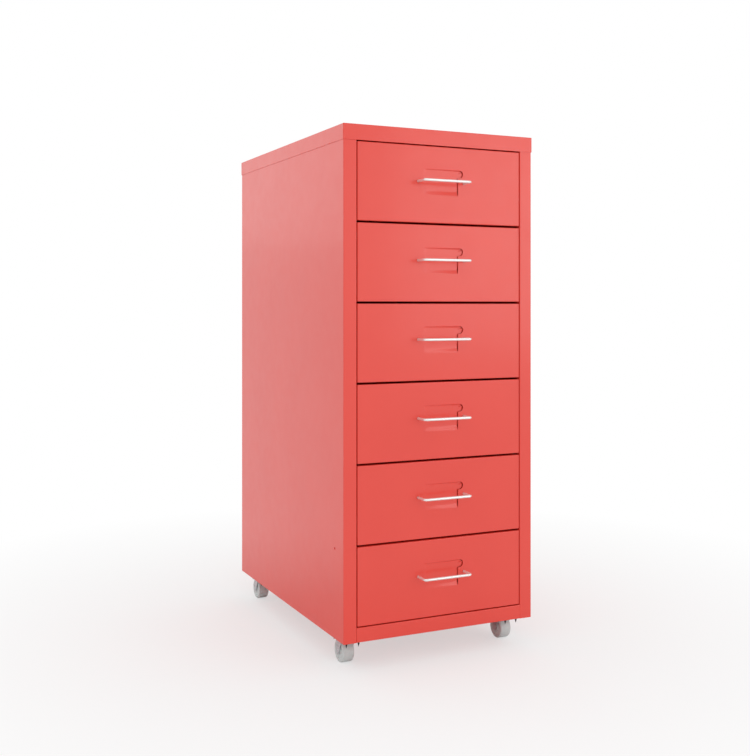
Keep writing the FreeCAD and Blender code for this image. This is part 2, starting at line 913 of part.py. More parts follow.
def kingpins():
    """The rivets that the forks swivel on, each with its head under its fork's crown."""
    body = new_group("caster_kingpins")
    head_top = at.crown_underside - at.swivel_gap
    shanks = new_sketch(body, "XY_Plane", out=head_top)
    heads = new_sketch(body, "XY_Plane", out=head_top)
    for corner, x, y in caster_places():
        draw_circle(shanks, x, y, at.kingpin_diameter / 2)
        draw_circle(heads, x, y, at.kingpin_head_diameter / 2)
    pad(body, shanks, at.base_underside - head_top)
    pad(body, heads, at.kingpin_head_height, backwards=True)
    return body


def caster_fork(corner, x, y):
    """A bent fork: a crown under the plate and two legs down to the axle."""
    body = new_body("caster_fork_%s" % corner)
    leg_inner = at.wheel_width / 2 + at.wheel_side_gap
    leg_outer = leg_inner + at.fork_gauge
    crown = new_sketch(body, "XY_Plane", out=at.crown_underside)
    draw_rectangle(crown, -leg_outer, leg_outer, -at.crown_front, at.crown_rear)
    draw_circle(crown, 0, 0, at.kingpin_diameter / 2 + at.running_gap)
    pad(body, crown, at.fork_gauge)

    boss = at.leg_boss_radius
    axle_y = at.wheel_trail
    axle_z = at.wheel_radius
    for side in (LEFT, RIGHT):
        leg = new_sketch(body, "YZ_Plane", out=leg_inner * side)
        draw_outline(leg, [
            (-at.crown_front, at.crown_top),
            (-at.crown_front, at.crown_underside - at.fork_gauge),
            (axle_y - boss, axle_z),
            (axle_y, axle_z - boss),
            (axle_y + boss, axle_z),
            (at.crown_rear, at.crown_underside - at.fork_gauge),
            (at.crown_rear, at.crown_top),
        ], {2: (boss, 1), 3: (boss, 1)})
        draw_circle(leg, axle_y, axle_z, at.axle_diameter / 2 + at.pin_hole_gap)
        pad(body, leg, at.fork_gauge, backwards=side == LEFT)
    round_edges(body, at.bend_radius, [(ALONG_Y, [
        (leg_outer * side, None, at.crown_top) for side in (LEFT, RIGHT)
    ])])
    place(body, x, y)
    return body


def axle(corner, x, y):
    """The wheel's rivet, with a head outside each leg of the fork."""
    body = new_body("caster_axle_%s" % corner)
    profile = new_sketch(body, "XZ_Plane", up=at.wheel_radius, out=-at.wheel_trail)
    shoulder = at.wheel_width / 2 + at.wheel_side_gap + at.fork_gauge
    end = shoulder + at.axle_head_height
    shaft = at.axle_diameter / 2
    head = at.axle_head_diameter / 2
    draw_outline(profile, [
        (-end, 0),
        (end, 0),
        (end, head),
        (shoulder, head),
        (shoulder, shaft),
        (-shoulder, shaft),
        (-shoulder, head),
        (-end, head),
    ])
    turn(body, profile)
    place(body, x, y)
    return body


def wheel(corner, x, y):
    """A moulded wheel with a wide round-edged tread, a hub and a shallow web recess each side."""
    body = new_body("caster_wheel_%s" % corner)
    profile = new_sketch(body, "XZ_Plane", up=at.wheel_radius, out=-at.wheel_trail)
    half = at.wheel_width / 2
    bore = at.axle_diameter / 2 + at.running_gap
    tread = at.wheel_radius
    edge = at.tread_round
    web = half - at.web_recess
    draw_outline(profile, [
        (-half, bore),
        (half, bore),
        (half, at.hub_radius),
        (web, at.hub_radius),
        (web, at.web_radius),
        (half, at.web_radius),
        (half, tread - edge),
        (half - edge, tread),
        (edge - half, tread),
        (-half, tread - edge),
        (-half, at.web_radius),
        (-web, at.web_radius),
        (-web, at.hub_radius),
        (-half, at.hub_radius),
    ], {6: (edge, 1), 8: (edge, 1)})
    turn(body, profile)
    place(body, x, y)
    return body


def caster_screws():
    """Pointed screws from inside the cabinet, through the base panel and the caster plates."""
    body = new_group("caster_screws")
    shank_end = at.screw_tip_height + at.screw_point
    heads = new_sketch(body, "XY_Plane", out=at.base_top)
    shanks = new_sketch(body, "XY_Plane", out=shank_end)
    points = new_sketch(body, "XY_Plane", out=shank_end)
    for x, y in all_screw_places():
        draw_circle(heads, x, y, at.screw_head_diameter / 2)
        draw_circle(shanks, x, y, at.screw_diameter / 2)
        draw_circle(points, x, y, at.screw_diameter / 2)
    pad(body, heads, at.screw_head_height)
    pad(body, shanks, at.base_top - shank_end)
    point = pad(body, points, at.screw_point, backwards=True)
    narrowing = (at.screw_diameter - at.screw_tip_diameter) / 2 / at.screw_point
    point.setExpression("TaperAngle", "-atan%s" % narrowing.text)
    return body


# The whole cabinet

for panel_name, panel_side in (("left_side_panel", LEFT), ("right_side_panel", RIGHT)):
    panel = side_panel(panel_name, panel_side)
    drill_returns(panel, panel_side)
    drill_lips(panel, panel_side)
back_panel()
back_rivets()
top_cover()
base_panel()
for rail_name, (rail_bottom, rail_top) in zip(("bottom_front_rail", "top_front_rail"), rail_levels()):
    front_rail(rail_name, rail_bottom, rail_top)
rail_rivets()
runners("left_runners", LEFT)
runners("right_runners", RIGHT)
for drawer in range(1, DRAWER_COUNT + 1):
    drawer_front(drawer)
    drawer_floor(drawer)
    drawer_walls(drawer)
    drawer_handle(drawer)
    push_nuts(drawer)
for corner_name, swivel_x, swivel_y in caster_places():
    caster_plate(corner_name, swivel_x, swivel_y)
    caster_fork(corner_name, swivel_x, swivel_y)
    axle(corner_name, swivel_x, swivel_y)
    wheel(corner_name, swivel_x, swivel_y)
kingpins()
caster_screws()
doc.recompute()

# Every object and every sub-part is tested before anything is written

for item in doc.Objects:
    if "Invalid" in item.State or "Error" in item.State:
        raise RuntimeError("%s failed: %s" % (item.Name, item.State))
for item in sub_parts:
    if item.Shape.isNull() or not item.Shape.isValid():
        raise RuntimeError("%s has no valid shape" % item.Label)

os.makedirs(PARTS_FOLDER, exist_ok=True)
for item in sub_parts:
    item.Shape.exportStep("%s/%s.step" % (PARTS_FOLDER, item.Label))
    print("%s: %d solids, %.1f mm3" % (item.Label, len(item.Shape.Solids), item.Shape.Volume))
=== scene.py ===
"""Looks of a narrow red steel drawer cabinet on four swivel casters.

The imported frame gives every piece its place. This script dresses the frame's pieces with their
finishes, models the fine forms that the frame leaves plain, and sets the studio around them.
All sizes are in metres. +Z is up, and the cabinet's front faces -Y.
"""

import json
import logging
import math
from dataclasses import dataclass, field
from enum import Enum

import bmesh
import bpy
import numpy as np
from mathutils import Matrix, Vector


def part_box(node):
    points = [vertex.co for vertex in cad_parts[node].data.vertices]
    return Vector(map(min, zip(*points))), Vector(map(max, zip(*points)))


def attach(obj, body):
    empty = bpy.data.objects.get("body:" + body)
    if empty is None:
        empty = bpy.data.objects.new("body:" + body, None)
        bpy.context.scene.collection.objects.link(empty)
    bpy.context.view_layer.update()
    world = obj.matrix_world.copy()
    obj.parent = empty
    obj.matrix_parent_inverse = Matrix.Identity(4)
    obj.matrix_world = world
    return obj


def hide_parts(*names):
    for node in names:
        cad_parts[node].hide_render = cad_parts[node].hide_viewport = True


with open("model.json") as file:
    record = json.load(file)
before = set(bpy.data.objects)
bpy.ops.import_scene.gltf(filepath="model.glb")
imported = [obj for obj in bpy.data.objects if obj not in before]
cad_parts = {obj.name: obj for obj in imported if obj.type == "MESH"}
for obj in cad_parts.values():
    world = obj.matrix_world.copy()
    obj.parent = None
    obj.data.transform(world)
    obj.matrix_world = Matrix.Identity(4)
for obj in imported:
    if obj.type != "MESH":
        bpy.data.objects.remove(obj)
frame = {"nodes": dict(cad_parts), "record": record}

logging.basicConfig(level=logging.INFO, format="%(message)s")
log = logging.getLogger("cabinet")

MM = 0.001
FULL_TURN = 2.0 * math.pi
DRAWERS = range(1, 7)
CORNERS = ("front_left", "front_right", "rear_left", "rear_right")
# The photograph's height in pixels, which the camera's sensor spans.
IMAGE_HEIGHT = 756
# Points closer together than this are one point.
WELD = 1e-6
# Faces that meet at a larger angle keep a crisp edge.
CREASE = math.radians(38.0)
# Rays are told apart by this many decimals of their angle.
RAY_DECIMALS = 9
# Most values of a noise lie in this range.
NOISE_BAND = (0.3, 0.7)

Array = np.ndarray
Pair = tuple[float, float]
Triple = tuple[float, float, float]
Socket = bpy.types.NodeSocket


class Look(Enum):
    """The finishes. A finish stands for the record's slot of its name, apart from the screws'."""

    PAINT = "red_paint"
    WIRE = "bright_wire"
    ZINC = "zinc_plate"
    PLASTIC = "grey_plastic"
    BLACK = "near_black_screw"

    @property
    def slot(self) -> str:
        """Return the record's material slot."""
        return Look.ZINC.value if self is Look.BLACK else self.value


class Axis(Enum):
    """The world axes that round pieces turn about, as the order of (radial, sideways, along)."""

    X = (1, 2, 0)
    Y = (2, 0, 1)
    Z = (0, 1, 2)


def rgba(color: Triple) -> tuple[float, float, float, float]:
    """Return a linear colour with full alpha."""
    return (*color, 1.0)


def smooth(value: Array) -> Array:
    """Return a rise from 0 to 1 that starts and ends level: 3 t squared less 2 t cubed."""
    share = np.clip(value, 0.0, 1.0)
    return share * share * (3.0 - 2.0 * share)


def lies(node: str) -> tuple[Array, Array]:
    """Return the lowest and the highest corner of a node of the frame."""
    low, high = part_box(node)
    return np.array(low), np.array(high)


def centre_of(node: str) -> Array:
    """Return the middle of a node's box."""
    low, high = lies(node)
    return (low + high) / 2


# Materials


@dataclass(frozen=True)
class Pattern:
    """A noise: its features to the metre, its octaves, and how strong the finer ones are."""

    per_metre: float
    octaves: float = 2.0
    strength: float = 0.5


class Shader:
    """A material's node tree, with short calls for the nodes that the finishes use."""

    def __init__(self, name: str) -> None:
        """Start a material that holds a Principled shader and an output.

        Args:
            name: the material's name.
        """
        self.material = bpy.data.materials.new(name)
        self.material.use_nodes = True
        self.nodes = self.material.node_tree.nodes
        self.links = self.material.node_tree.links
        self.surface = self.nodes["Principled BSDF"]
        self.place = self.nodes.new("ShaderNodeTexCoord").outputs["Object"]
        self.raised: Socket | None = None

    def link(self, source: Socket, target: Socket) -> None:
        """Join two sockets."""
        self.links.new(source, target)

    def stretched(self, scale: Triple) -> Socket:
        """Scale the object's coordinates along each axis.

        Args:
            scale: the factor along each axis.

        Returns:
            The scaled coordinates.
        """
        node = self.nodes.new("ShaderNodeMapping")
        node.inputs["Scale"].default_value = scale
        self.link(self.place, node.inputs["Vector"])
        return node.outputs["Vector"]

    def noise(self, pattern: Pattern, place: Socket | None = None) -> Socket:
        """Make a noise.

        Args:
            pattern: the noise's scale and detail.
            place: the coordinates that it reads, which are the object's if none are given.

        Returns:
            Its value, from 0 to 1.
        """
        node = self.nodes.new("ShaderNodeTexNoise")
        node.inputs["Scale"].default_value = pattern.per_metre
        node.inputs["Detail"].default_value = pattern.octaves
        node.inputs["Roughness"].default_value = pattern.strength
        self.link(self.place if place is None else place, node.inputs["Vector"])
        return node.outputs["Fac"]

    def cells(self, per_metre: float) -> Socket:
        """Make a crystal pattern that has one random value in each cell.

        Args:
            per_metre: how many cells there are to the metre.

        Returns:
            The cells' values, from 0 to 1.
        """
        node = self.nodes.new("ShaderNodeTexVoronoi")
        node.inputs["Scale"].default_value = per_metre
        self.link(self.place, node.inputs["Vector"])
        grey = self.nodes.new("ShaderNodeRGBToBW")
        self.link(node.outputs["Color"], grey.inputs["Color"])
        return grey.outputs["Val"]

    def spread(self, value: Socket, into: Pair, over: Pair = (0.0, 1.0)) -> Socket:
        """Move a value from one range into another, and stop it at the ends.

        Args:
            value: the value.
            into: the range that it comes to lie in.
            over: the range that it lies in before.

        Returns:
            The moved value.
        """
        node = self.nodes.new("ShaderNodeMapRange")
        node.inputs["From Min"].default_value, node.inputs["From Max"].default_value = over
        node.inputs["To Min"].default_value, node.inputs["To Max"].default_value = into
        self.link(value, node.inputs["Value"])
        return node.outputs["Result"]

    def tint(self, value: Socket, first: Triple, last: Triple) -> None:
        """Colour the surface between two colours.

        Args:
            value: a value from 0 to 1.
            first: the colour at 0.
            last: the colour at 1.
        """
        node = self.nodes.new("ShaderNodeMix")
        node.data_type = "RGBA"
        node.inputs["A"].default_value = rgba(first)
        node.inputs["B"].default_value = rgba(last)
        self.link(value, node.inputs["Factor"])
        self.link(node.outputs["Result"], self.surface.inputs["Base Color"])

    def roughen(self, value: Socket, limits: Pair) -> None:
        """Let the surface's roughness follow a noise between two limits."""
        self.link(self.spread(value, limits, NOISE_BAND), self.surface.inputs["Roughness"])

    def emboss(self, height: Socket, depth: float) -> None:
        """Raise the surface by a height, on top of what raised it before.

        Args:
            height: the height, from 0 to 1.
            depth: how many metres 1 stands above 0.
        """
        node = self.nodes.new("ShaderNodeBump")
        node.inputs["Strength"].default_value = 1.0
        node.inputs["Distance"].default_value = depth
        self.link(height, node.inputs["Height"])
        if self.raised is not None:
            self.link(self.raised, node.inputs["Normal"])
        self.raised = node.outputs["Normal"]
        self.link(self.raised, self.surface.inputs["Normal"])

    def set(self, **values: float) -> None:
        """Set uniform values on the shader's own sockets. An underscore stands for a space."""
        for name, value in values.items():
            self.surface.inputs[name.replace("_", " ")].default_value = value


@dataclass(frozen=True)
class PowderCoat:
    """Semi-gloss powder coat: a fine orange peel over sheet that is never quite flat."""

    look: Look = Look.PAINT
    thin: Triple = (0.870, 0.070, 0.047)
    full: Triple = (0.820, 0.059, 0.040)
    cloud: Pattern = Pattern(14.0, 3.0)
    grain: Pattern = Pattern(60.0)
    roughness: Pair = (0.28, 0.33)
    wave: Pattern = Pattern(7.0, 0.0)
    wave_depth: float = 0.4 * MM
    peel: Pattern = Pattern(260.0, 0.0)
    peel_depth: float = 0.003 * MM
    refraction: float = 1.5
    coat: float = 0.25
    coat_roughness: float = 0.12

    def make(self) -> bpy.types.Material:
        """Cloud the colour, and raise the peel on top of the sheet's waves.

        Returns:
            The material.
        """
        shader = Shader(self.look.value)
        shader.tint(shader.noise(self.cloud), self.thin, self.full)
        shader.roughen(shader.noise(self.grain), self.roughness)
        shader.emboss(shader.noise(self.wave), self.wave_depth)
        shader.emboss(shader.noise(self.peel), self.peel_depth)
        shader.set(IOR=self.refraction, Coat_Weight=self.coat, Coat_Roughness=self.coat_roughness)
        return shader.material


@dataclass(frozen=True)
class BrightWire:
    """Bright plated wire with faint draw lines along it."""

    look: Look = Look.WIRE
    bright: Triple = (0.93, 0.92, 0.90)
    dull: Triple = (0.84, 0.83, 0.81)
    line_scale: Triple = (20.0, 1400.0, 1400.0)
    line_depth: float = 0.006 * MM
    roughness: Pair = (0.10, 0.24)
    metal: float = 0.50

    def make(self) -> bpy.types.Material:
        """Draw the lines with a noise that is stretched along X.

        Returns:
            The material.
        """
        shader = Shader(self.look.value)
        lines = shader.noise(Pattern(1.0), shader.stretched(self.line_scale))
        shader.tint(lines, self.bright, self.dull)
        shader.roughen(lines, self.roughness)
        shader.emboss(lines, self.line_depth)
        shader.set(Metallic=self.metal)
        return shader.material


@dataclass(frozen=True)
class ZincPlate:
    """Dull zinc plating: small crystals and a clouded sheen."""

    look: Look = Look.ZINC
    light: Triple = (0.70, 0.71, 0.72)
    dark: Triple = (0.50, 0.51, 0.53)
    crystals_per_metre: float = 700.0
    crystal_band: Pair = (0.2, 0.8)
    cloud: Pattern = Pattern(160.0, 4.0, 0.6)
    cloud_depth: float = 0.02 * MM
    roughness: Pair = (0.30, 0.52)
    metal: float = 0.75

    def make(self) -> bpy.types.Material:
        """Colour each crystal, with the outermost values held back, and cloud the sheen.

        Returns:
            The material.
        """
        shader = Shader(self.look.value)
        crystals = shader.cells(self.crystals_per_metre)
        held = shader.spread(crystals, self.crystal_band, self.crystal_band)
        shader.tint(held, self.light, self.dark)
        cloud = shader.noise(self.cloud)
        shader.roughen(cloud, self.roughness)
        shader.emboss(cloud, self.cloud_depth)
        shader.set(Metallic=self.metal)
        return shader.material


@dataclass(frozen=True)
class NearBlackSteel:
    """Steel coloured near black, with an oily sheen, worn a little lighter here and there."""

    look: Look = Look.BLACK
    # Near-black colour given to the caster screws.
    dark: Triple = (0.012, 0.012, 0.013)
    worn: Triple = (0.045, 0.043, 0.042)
    wear: Pattern = Pattern(420.0, 4.0, 0.6)
    wear_band: Pair = (0.45, 0.75)
    wear_depth: float = 0.01 * MM
    roughness: Pair = (0.32, 0.55)
    metal: float = 0.4

    def make(self) -> bpy.types.Material:
        """Lighten the worn spots, which are duller and a little lower.

        Returns:
            The material.
        """
        shader = Shader(self.look.value)
        wear = shader.noise(self.wear)
        shader.tint(shader.spread(wear, (0.0, 1.0), self.wear_band), self.dark, self.worn)
        shader.roughen(wear, self.roughness)
        shader.emboss(wear, self.wear_depth)
        shader.set(Metallic=self.metal)
        return shader.material


@dataclass(frozen=True)
class MouldedPlastic:
    """Light grey moulded plastic with a satin skin."""

    look: Look = Look.PLASTIC
    clean: Triple = (0.680, 0.725, 0.715)
    scuffed: Triple = (0.620, 0.660, 0.650)
    scuffs: Pattern = Pattern(220.0, 5.0, 0.65)
    scuff_band: Pair = (0.35, 0.75)
    roughness: Pair = (0.34, 0.50)
    grain: Pattern = Pattern(1500.0)
    grain_depth: float = 0.01 * MM
    refraction: float = 1.49

    def make(self) -> bpy.types.Material:
        """Dull the scuffed spots, and raise the mould's fine grain.

        Returns:
            The material.
        """
        shader = Shader(self.look.value)
        scuffs = shader.noise(self.scuffs)
        shader.tint(shader.spread(scuffs, (0.0, 1.0), self.scuff_band), self.clean, self.scuffed)
        shader.roughen(scuffs, self.roughness)
        shader.emboss(shader.noise(self.grain), self.grain_depth)
        shader.set(IOR=self.refraction)
        return shader.material


Finish = PowderCoat | BrightWire | ZincPlate | NearBlackSteel | MouldedPlastic


# Mesh work


def ellipse(centre: Pair, across: float, up: float, start: float, end: float,
            count: int) -> Array:
    """Lay points on an ellipse: the centre plus (across times cosine, up times sine).

    Args:
        centre: the ellipse's centre.
        across: its reach along the first coordinate.
        up: its reach along the second coordinate. Below 0, it is upside down.
        start: the first point's angle in degrees.
        end: the last point's angle in degrees.
        count: how many points.

    Returns:
        An array of count by 2.
    """
    angle = np.radians(np.linspace(start, end, count))
    first = centre[0] + across * np.cos(angle)
    second = centre[1] + up * np.sin(angle)
    return np.stack([first, second], -1)


def arc(centre: Pair, radius: float, start: float, end: float, count: int) -> Array:
    """Return points on a circle, as ellipse does."""
    return ellipse(centre, radius, radius, start, end, count)


def round_angles(columns: int) -> Array:
    """Return the angles of columns that stand evenly round a full turn."""
    return np.linspace(0.0, FULL_TURN, columns, endpoint=False)


def doubled(half: Array) -> Array:
    """Return a profile of (radius, height) up to height 0, and its mirror image after it."""
    return np.concatenate([half, (half * (1.0, -1.0))[::-1][1:]])


class Surface:
    """A mesh gathered from grids of points, each worked out as a whole array."""

    def __init__(self) -> None:
        """Start with no points and no faces."""
        self.points: list[Array] = []
        self.faces: list[Array] = []
        self.count = 0

    def add(self, grid: Array, around: bool = False, flip: bool = False,
            keep: Array | None = None) -> None:
        """Add a grid. Its faces look along rows crossed with columns.

        Args:
            grid: points in an array of rows by columns by 3.
            around: whether the last column joins the first.
            flip: whether the faces look the other way.
            keep: which faces are kept, an array of rows of faces by columns of faces.
        """
        rows, columns = grid.shape[:2]
        index = self.count + np.arange(rows * columns).reshape(rows, columns)
        if around:
            index = np.concatenate([index, index[:, :1]], axis=1)
        corners = [index[:-1, :-1], index[1:, :-1], index[1:, 1:], index[:-1, 1:]]
        faces = np.stack(corners[::-1] if flip else corners, axis=-1)
        self.points.append(grid.reshape(-1, 3))
        self.faces.append(faces.reshape(-1, 4) if keep is None else faces[keep])
        self.count += rows * columns

    def turn(self, profile: Array, axis: Axis, centre: Array, columns: int) -> None:
        """Turn a profile a full round about an axis.

        A point of the profile is (radius, height along the axis). It becomes radius times
        (cosine, sine) of the column's angle, across the axis through the centre. The piece's
        outer side is on the left of the profile's direction, in the plane of radius and height.

        Args:
            profile: the profile's points, an array of rows by 2.
            axis: the axis.
            centre: a point on the axis, where the height is 0.
            columns: how many columns go round.
        """
        angle = round_angles(columns)
        shaped = np.repeat(profile[:, None, :], columns, axis=1)
        self.turn_shaped(shaped, angle, axis, centre)

    def turn_shaped(self, profile: Array, angle: Array, axis: Axis, centre: Array) -> None:
        """Turn a profile that differs from column to column.

        Args:
            profile: (radius, height) for each row and column.
            angle: the columns' angles.
            axis: the axis.
            centre: a point on the axis, where the height is 0.
        """
        radial, sideways, along = axis.value
        grid = np.empty(profile.shape[:2] + (3,))
        grid[..., radial] = centre[radial] + profile[..., 0] * np.cos(angle)
        grid[..., sideways] = centre[sideways] + profile[..., 0] * np.sin(angle)
        grid[..., along] = centre[along] + profile[..., 1]
        self.add(grid, around=True)

    def mesh(self, name: str) -> bpy.types.Mesh:
        """Make the mesh, with points that meet welded and collapsed faces taken out.

        Args:
            name: the mesh's name.

        Returns:
            The mesh.
        """
        points = np.concatenate(self.points).astype(np.float32)
        faces = np.concatenate(self.faces)
        mesh = bpy.data.meshes.new(name)
        mesh.vertices.add(len(points))
        mesh.vertices.foreach_set("co", points.ravel())
        mesh.loops.add(faces.size)
        mesh.loops.foreach_set("vertex_index", faces.ravel())
        mesh.polygons.add(len(faces))
        mesh.polygons.foreach_set("loop_start", np.arange(0, faces.size, 4))
        mesh.update(calc_edges=True)
        shape = bmesh.new()
        shape.from_mesh(mesh)
        bmesh.ops.remove_doubles(shape, verts=shape.verts, dist=WELD)
        bmesh.ops.dissolve_degenerate(shape, edges=shape.edges, dist=WELD)
        shape.to_mesh(mesh)
        shape.free()
        return mesh


@dataclass
class Workshop:
    """Makes each finish once, and turns surfaces into dressed pieces that ride on their bodies."""

    kinds: tuple[Finish, ...] = (
        PowderCoat(), BrightWire(), ZincPlate(), NearBlackSteel(), MouldedPlastic())
    made: dict[Look, bpy.types.Material] = field(default_factory=dict)
    edge_segments: int = 2

    def finish(self, look: Look) -> bpy.types.Material:
        """Find a finish's material, which is made when it is first asked for.

        Args:
            look: the finish.

        Returns:
            Its material.
        """
        if look not in self.made:
            kind = next(kind for kind in self.kinds if kind.look is look)
            self.made[look] = kind.make()
        return self.made[look]

    def dress(self, piece: bpy.types.Object, look: Look) -> None:
        """Give a piece one finish all over.

        Args:
            piece: the piece.
            look: its finish.
        """
        piece.data.materials.clear()
        piece.data.materials.append(self.finish(look))
        piece.data.polygons.foreach_set("material_index", [0] * len(piece.data.polygons))

    def dress_frame(self) -> None:
        """Dress every node of the frame with the finish that the record gives it."""
        for entry in frame["record"]["subparts"]:
            self.dress(frame["nodes"][entry["node"]], Look(entry["material_slot"]))
            log.info("dressed %s", entry["node"])

    def settle(self, piece: bpy.types.Object, sheet: float, edge: float,
               holes: Surface | None) -> None:
        """Give a piece its thickness, its holes and its round edges, and keep that as its mesh.

        Args:
            piece: the piece.
            sheet: the thickness that is added inwards, or 0.
            edge: the radius that sharp edges are rounded to, or 0.
            holes: closed surfaces that are cut out of the piece.
        """
        drill = None
        if sheet:
            wall = piece.modifiers.new("sheet", "SOLIDIFY")
            wall.thickness = sheet
            wall.offset = -1.0
        if holes:
            drill = bpy.data.objects.new("drill", holes.mesh("drill"))
            bpy.context.scene.collection.objects.link(drill)
            cut = piece.modifiers.new("holes", "BOOLEAN")
            cut.operation = "DIFFERENCE"
            cut.solver = "EXACT"
            cut.object = drill
        if edge:
            bevel = piece.modifiers.new("edge", "BEVEL")
            bevel.width = edge
            bevel.segments = self.edge_segments
            bevel.limit_method = "ANGLE"
            bevel.angle_limit = CREASE
        if piece.modifiers:
            whole = piece.evaluated_get(bpy.context.evaluated_depsgraph_get())
            piece.data = bpy.data.meshes.new_from_object(whole)
            piece.data.name = piece.name
            piece.modifiers.clear()
        if drill:
            bpy.data.meshes.remove(drill.data)

    def show(self, surface: Surface, node: str, body: str, look: Look, sheet: float = 0.0,
             edge: float = 0.0, holes: Surface | None = None) -> None:
        """Turn a surface into a piece that stands for a node of the frame.

        Args:
            surface: the piece's surface, or the outer side of its sheet.
            node: the node that the piece stands for. The piece takes its name, with a suffix.
            body: the body that the piece rides on.
            look: its finish.
            sheet: the sheet's thickness, where it is made of one.
            edge: the radius that sharp edges are rounded to.
            holes: closed surfaces that are cut out of the piece.
        """
        name = node + "_form"
        piece = bpy.data.objects.new(name, surface.mesh(name))
        bpy.context.scene.collection.objects.link(piece)
        self.settle(piece, sheet, edge, holes)
        piece.data.shade_smooth()
        piece.data.set_sharp_from_angle(angle=CREASE)
        self.dress(piece, look)
        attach(piece, body)
        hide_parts(node)
        log.info("made %s: %d faces", name, len(piece.data.polygons))


# Sheet metal


@dataclass
class PanRings:
    """Rings round a sheet pan with round corners, seen along Y. Each is an inset from its edge."""

    low: Array
    high: Array
    corner: float
    rays: Array
    middle: Array

    def __post_init__(self) -> None:
        """Find where each ray from the middle meets the pan's sharp rectangle.

        A ray goes as far as the nearer of the two sides that it heads for. The point's core is
        the point drawn into the rectangle by the corner radius, and its way out leads from the
        core to the point.
        """
        way = np.stack([np.cos(self.rays), np.sin(self.rays)], -1)
        ahead = np.where(way > 0, self.high - self.middle, self.low - self.middle)
        with np.errstate(divide="ignore"):
            reach = np.where(way == 0, np.inf, ahead / way).min(-1)
        self.rim = self.middle + way * reach[:, None]
        self.core = np.clip(self.rim, self.low + self.corner, self.high - self.corner)
        outward = self.rim - self.core
        self.out = outward / np.linalg.norm(outward, axis=-1, keepdims=True)

    def inset(self, across: float, up: float | None = None) -> Array:
        """Work out a ring inside the pan's edge.

        The core is drawn in by what the inset has over the corner radius, and the ring stands
        outside it by what is left of that radius.

        Args:
            across: how far the ring lies from the side edges.
            up: how far it lies from the end edges, which is as far if not given.

        Returns:
            The ring's points, one on each ray.
        """
        inset = np.array([across, across if up is None else up])
        drawn = np.maximum(inset, self.corner)
        core = np.clip(self.core, self.low + drawn, self.high - drawn)
        return core + self.out * max(self.corner - across, 0.0)


@dataclass
class LabelRecess:
    """The pressed label recess: a round-cornered rectangle with a thumb nose at its right end.

    It is shallow at the left and deepens to the right. At the right end and round the nose the
    sheet is sheared through, and elsewhere the face falls to the floor in an S. The drop is
    measured from the front's top, and left, right and reach from its middle line.
    """

    left: float = 26.5 * MM
    right: float = 25.0 * MM
    drop: float = 29.7 * MM
    height: float = 34.5 * MM
    depth: float = 1.6 * MM
    left_depth: float = 0.4 * MM
    corner: float = 2.5 * MM
    corner_points: int = 9
    nose: float = 5.0 * MM
    nose_points: int = 25
    reach: float = 32.4 * MM
    hollow: float = 1.2 * MM
    hollow_points: int = 7
    shoulder: float = 0.12 * MM
    foot: float = 0.08 * MM
    soft_left: float = 5.0 * MM
    soft_below: float = 7.0 * MM
    soft_above: float = 1.0 * MM
    above_power: int = 4
    shear_start: float = 1.0 * MM
    shear_rise: float = 0.94
    heart: Pair = (0.4, 1.7)

    def outline(self, top: float) -> Array:
        """Work out the outline, anticlockwise from the lower left: lines and arcs end to end.

        Args:
            top: the height of the front's top.

        Returns:
            The outline's points, (x, z).
        """
        ceiling = top - self.drop
        ground = ceiling - self.height
        step = ceiling - 2 * self.nose
        left = self.corner - self.left
        right = self.right - self.corner
        parts = [
            arc((left, ground + self.corner), self.corner, 180, 270, self.corner_points),
            arc((right, ground + self.corner), self.corner, 270, 360, self.corner_points),
            arc((self.right + self.hollow, step - self.hollow), self.hollow, 180, 90,
                self.hollow_points),
            arc((self.reach - self.nose, ceiling - self.nose), self.nose, 270, 450,
                self.nose_points),
            arc((left, ceiling - self.corner), self.corner, 90, 180, self.corner_points),
        ]
        return np.concatenate(parts)

    def foot_line(self, outline: Array, normal: Array, top: float) -> Array:
        """Work out where the wall meets the floor.

        The outline is squeezed to the right by soft_left times its share of the way to the left
        edge, and up by soft_below times its share of the way from the nose to the bottom edge.
        Then it goes inwards by the foot's reach, and by soft_above where it faces up.

        Args:
            outline: the outline's points, (x, z).
            normal: its outward directions.
            top: the height of the front's top.

        Returns:
            The points of the foot, one for each of the outline's.
        """
        step = top - self.drop - 2 * self.nose
        ground = top - self.drop - self.height
        leftward = np.clip((self.right - outline[:, 0]) / (self.left + self.right), 0.0, 1.0)
        downward = np.clip((step - outline[:, 1]) / (step - ground), 0.0, 1.0)
        squeeze = np.stack([self.soft_left * leftward, self.soft_below * downward], -1)
        facing_up = np.maximum(normal[:, 1:], 0.0) ** self.above_power
        return outline + squeeze - normal * (self.foot + self.soft_above * facing_up)

    def depth_at(self, x: Array) -> Array:
        """Return the floor's depth, which grows evenly from the left edge to the right."""
        share = (x + self.left) / (self.left + self.right)
        return self.left_depth + (self.depth - self.left_depth) * share

    def sheared(self, outline: Array, normal: Array) -> Array:
        """Return which points of the outline are sheared: the right end, but not its flat top."""
        return (outline[:, 0] > self.right - self.shear_start) & (normal[:, 1] < self.shear_rise)

    def middle(self, top: float) -> Array:
        """Return a point that sees the whole outline, by shares of the reach and of the nose."""
        return np.array([self.reach * self.heart[0], top - self.drop - self.nose * self.heart[1]])


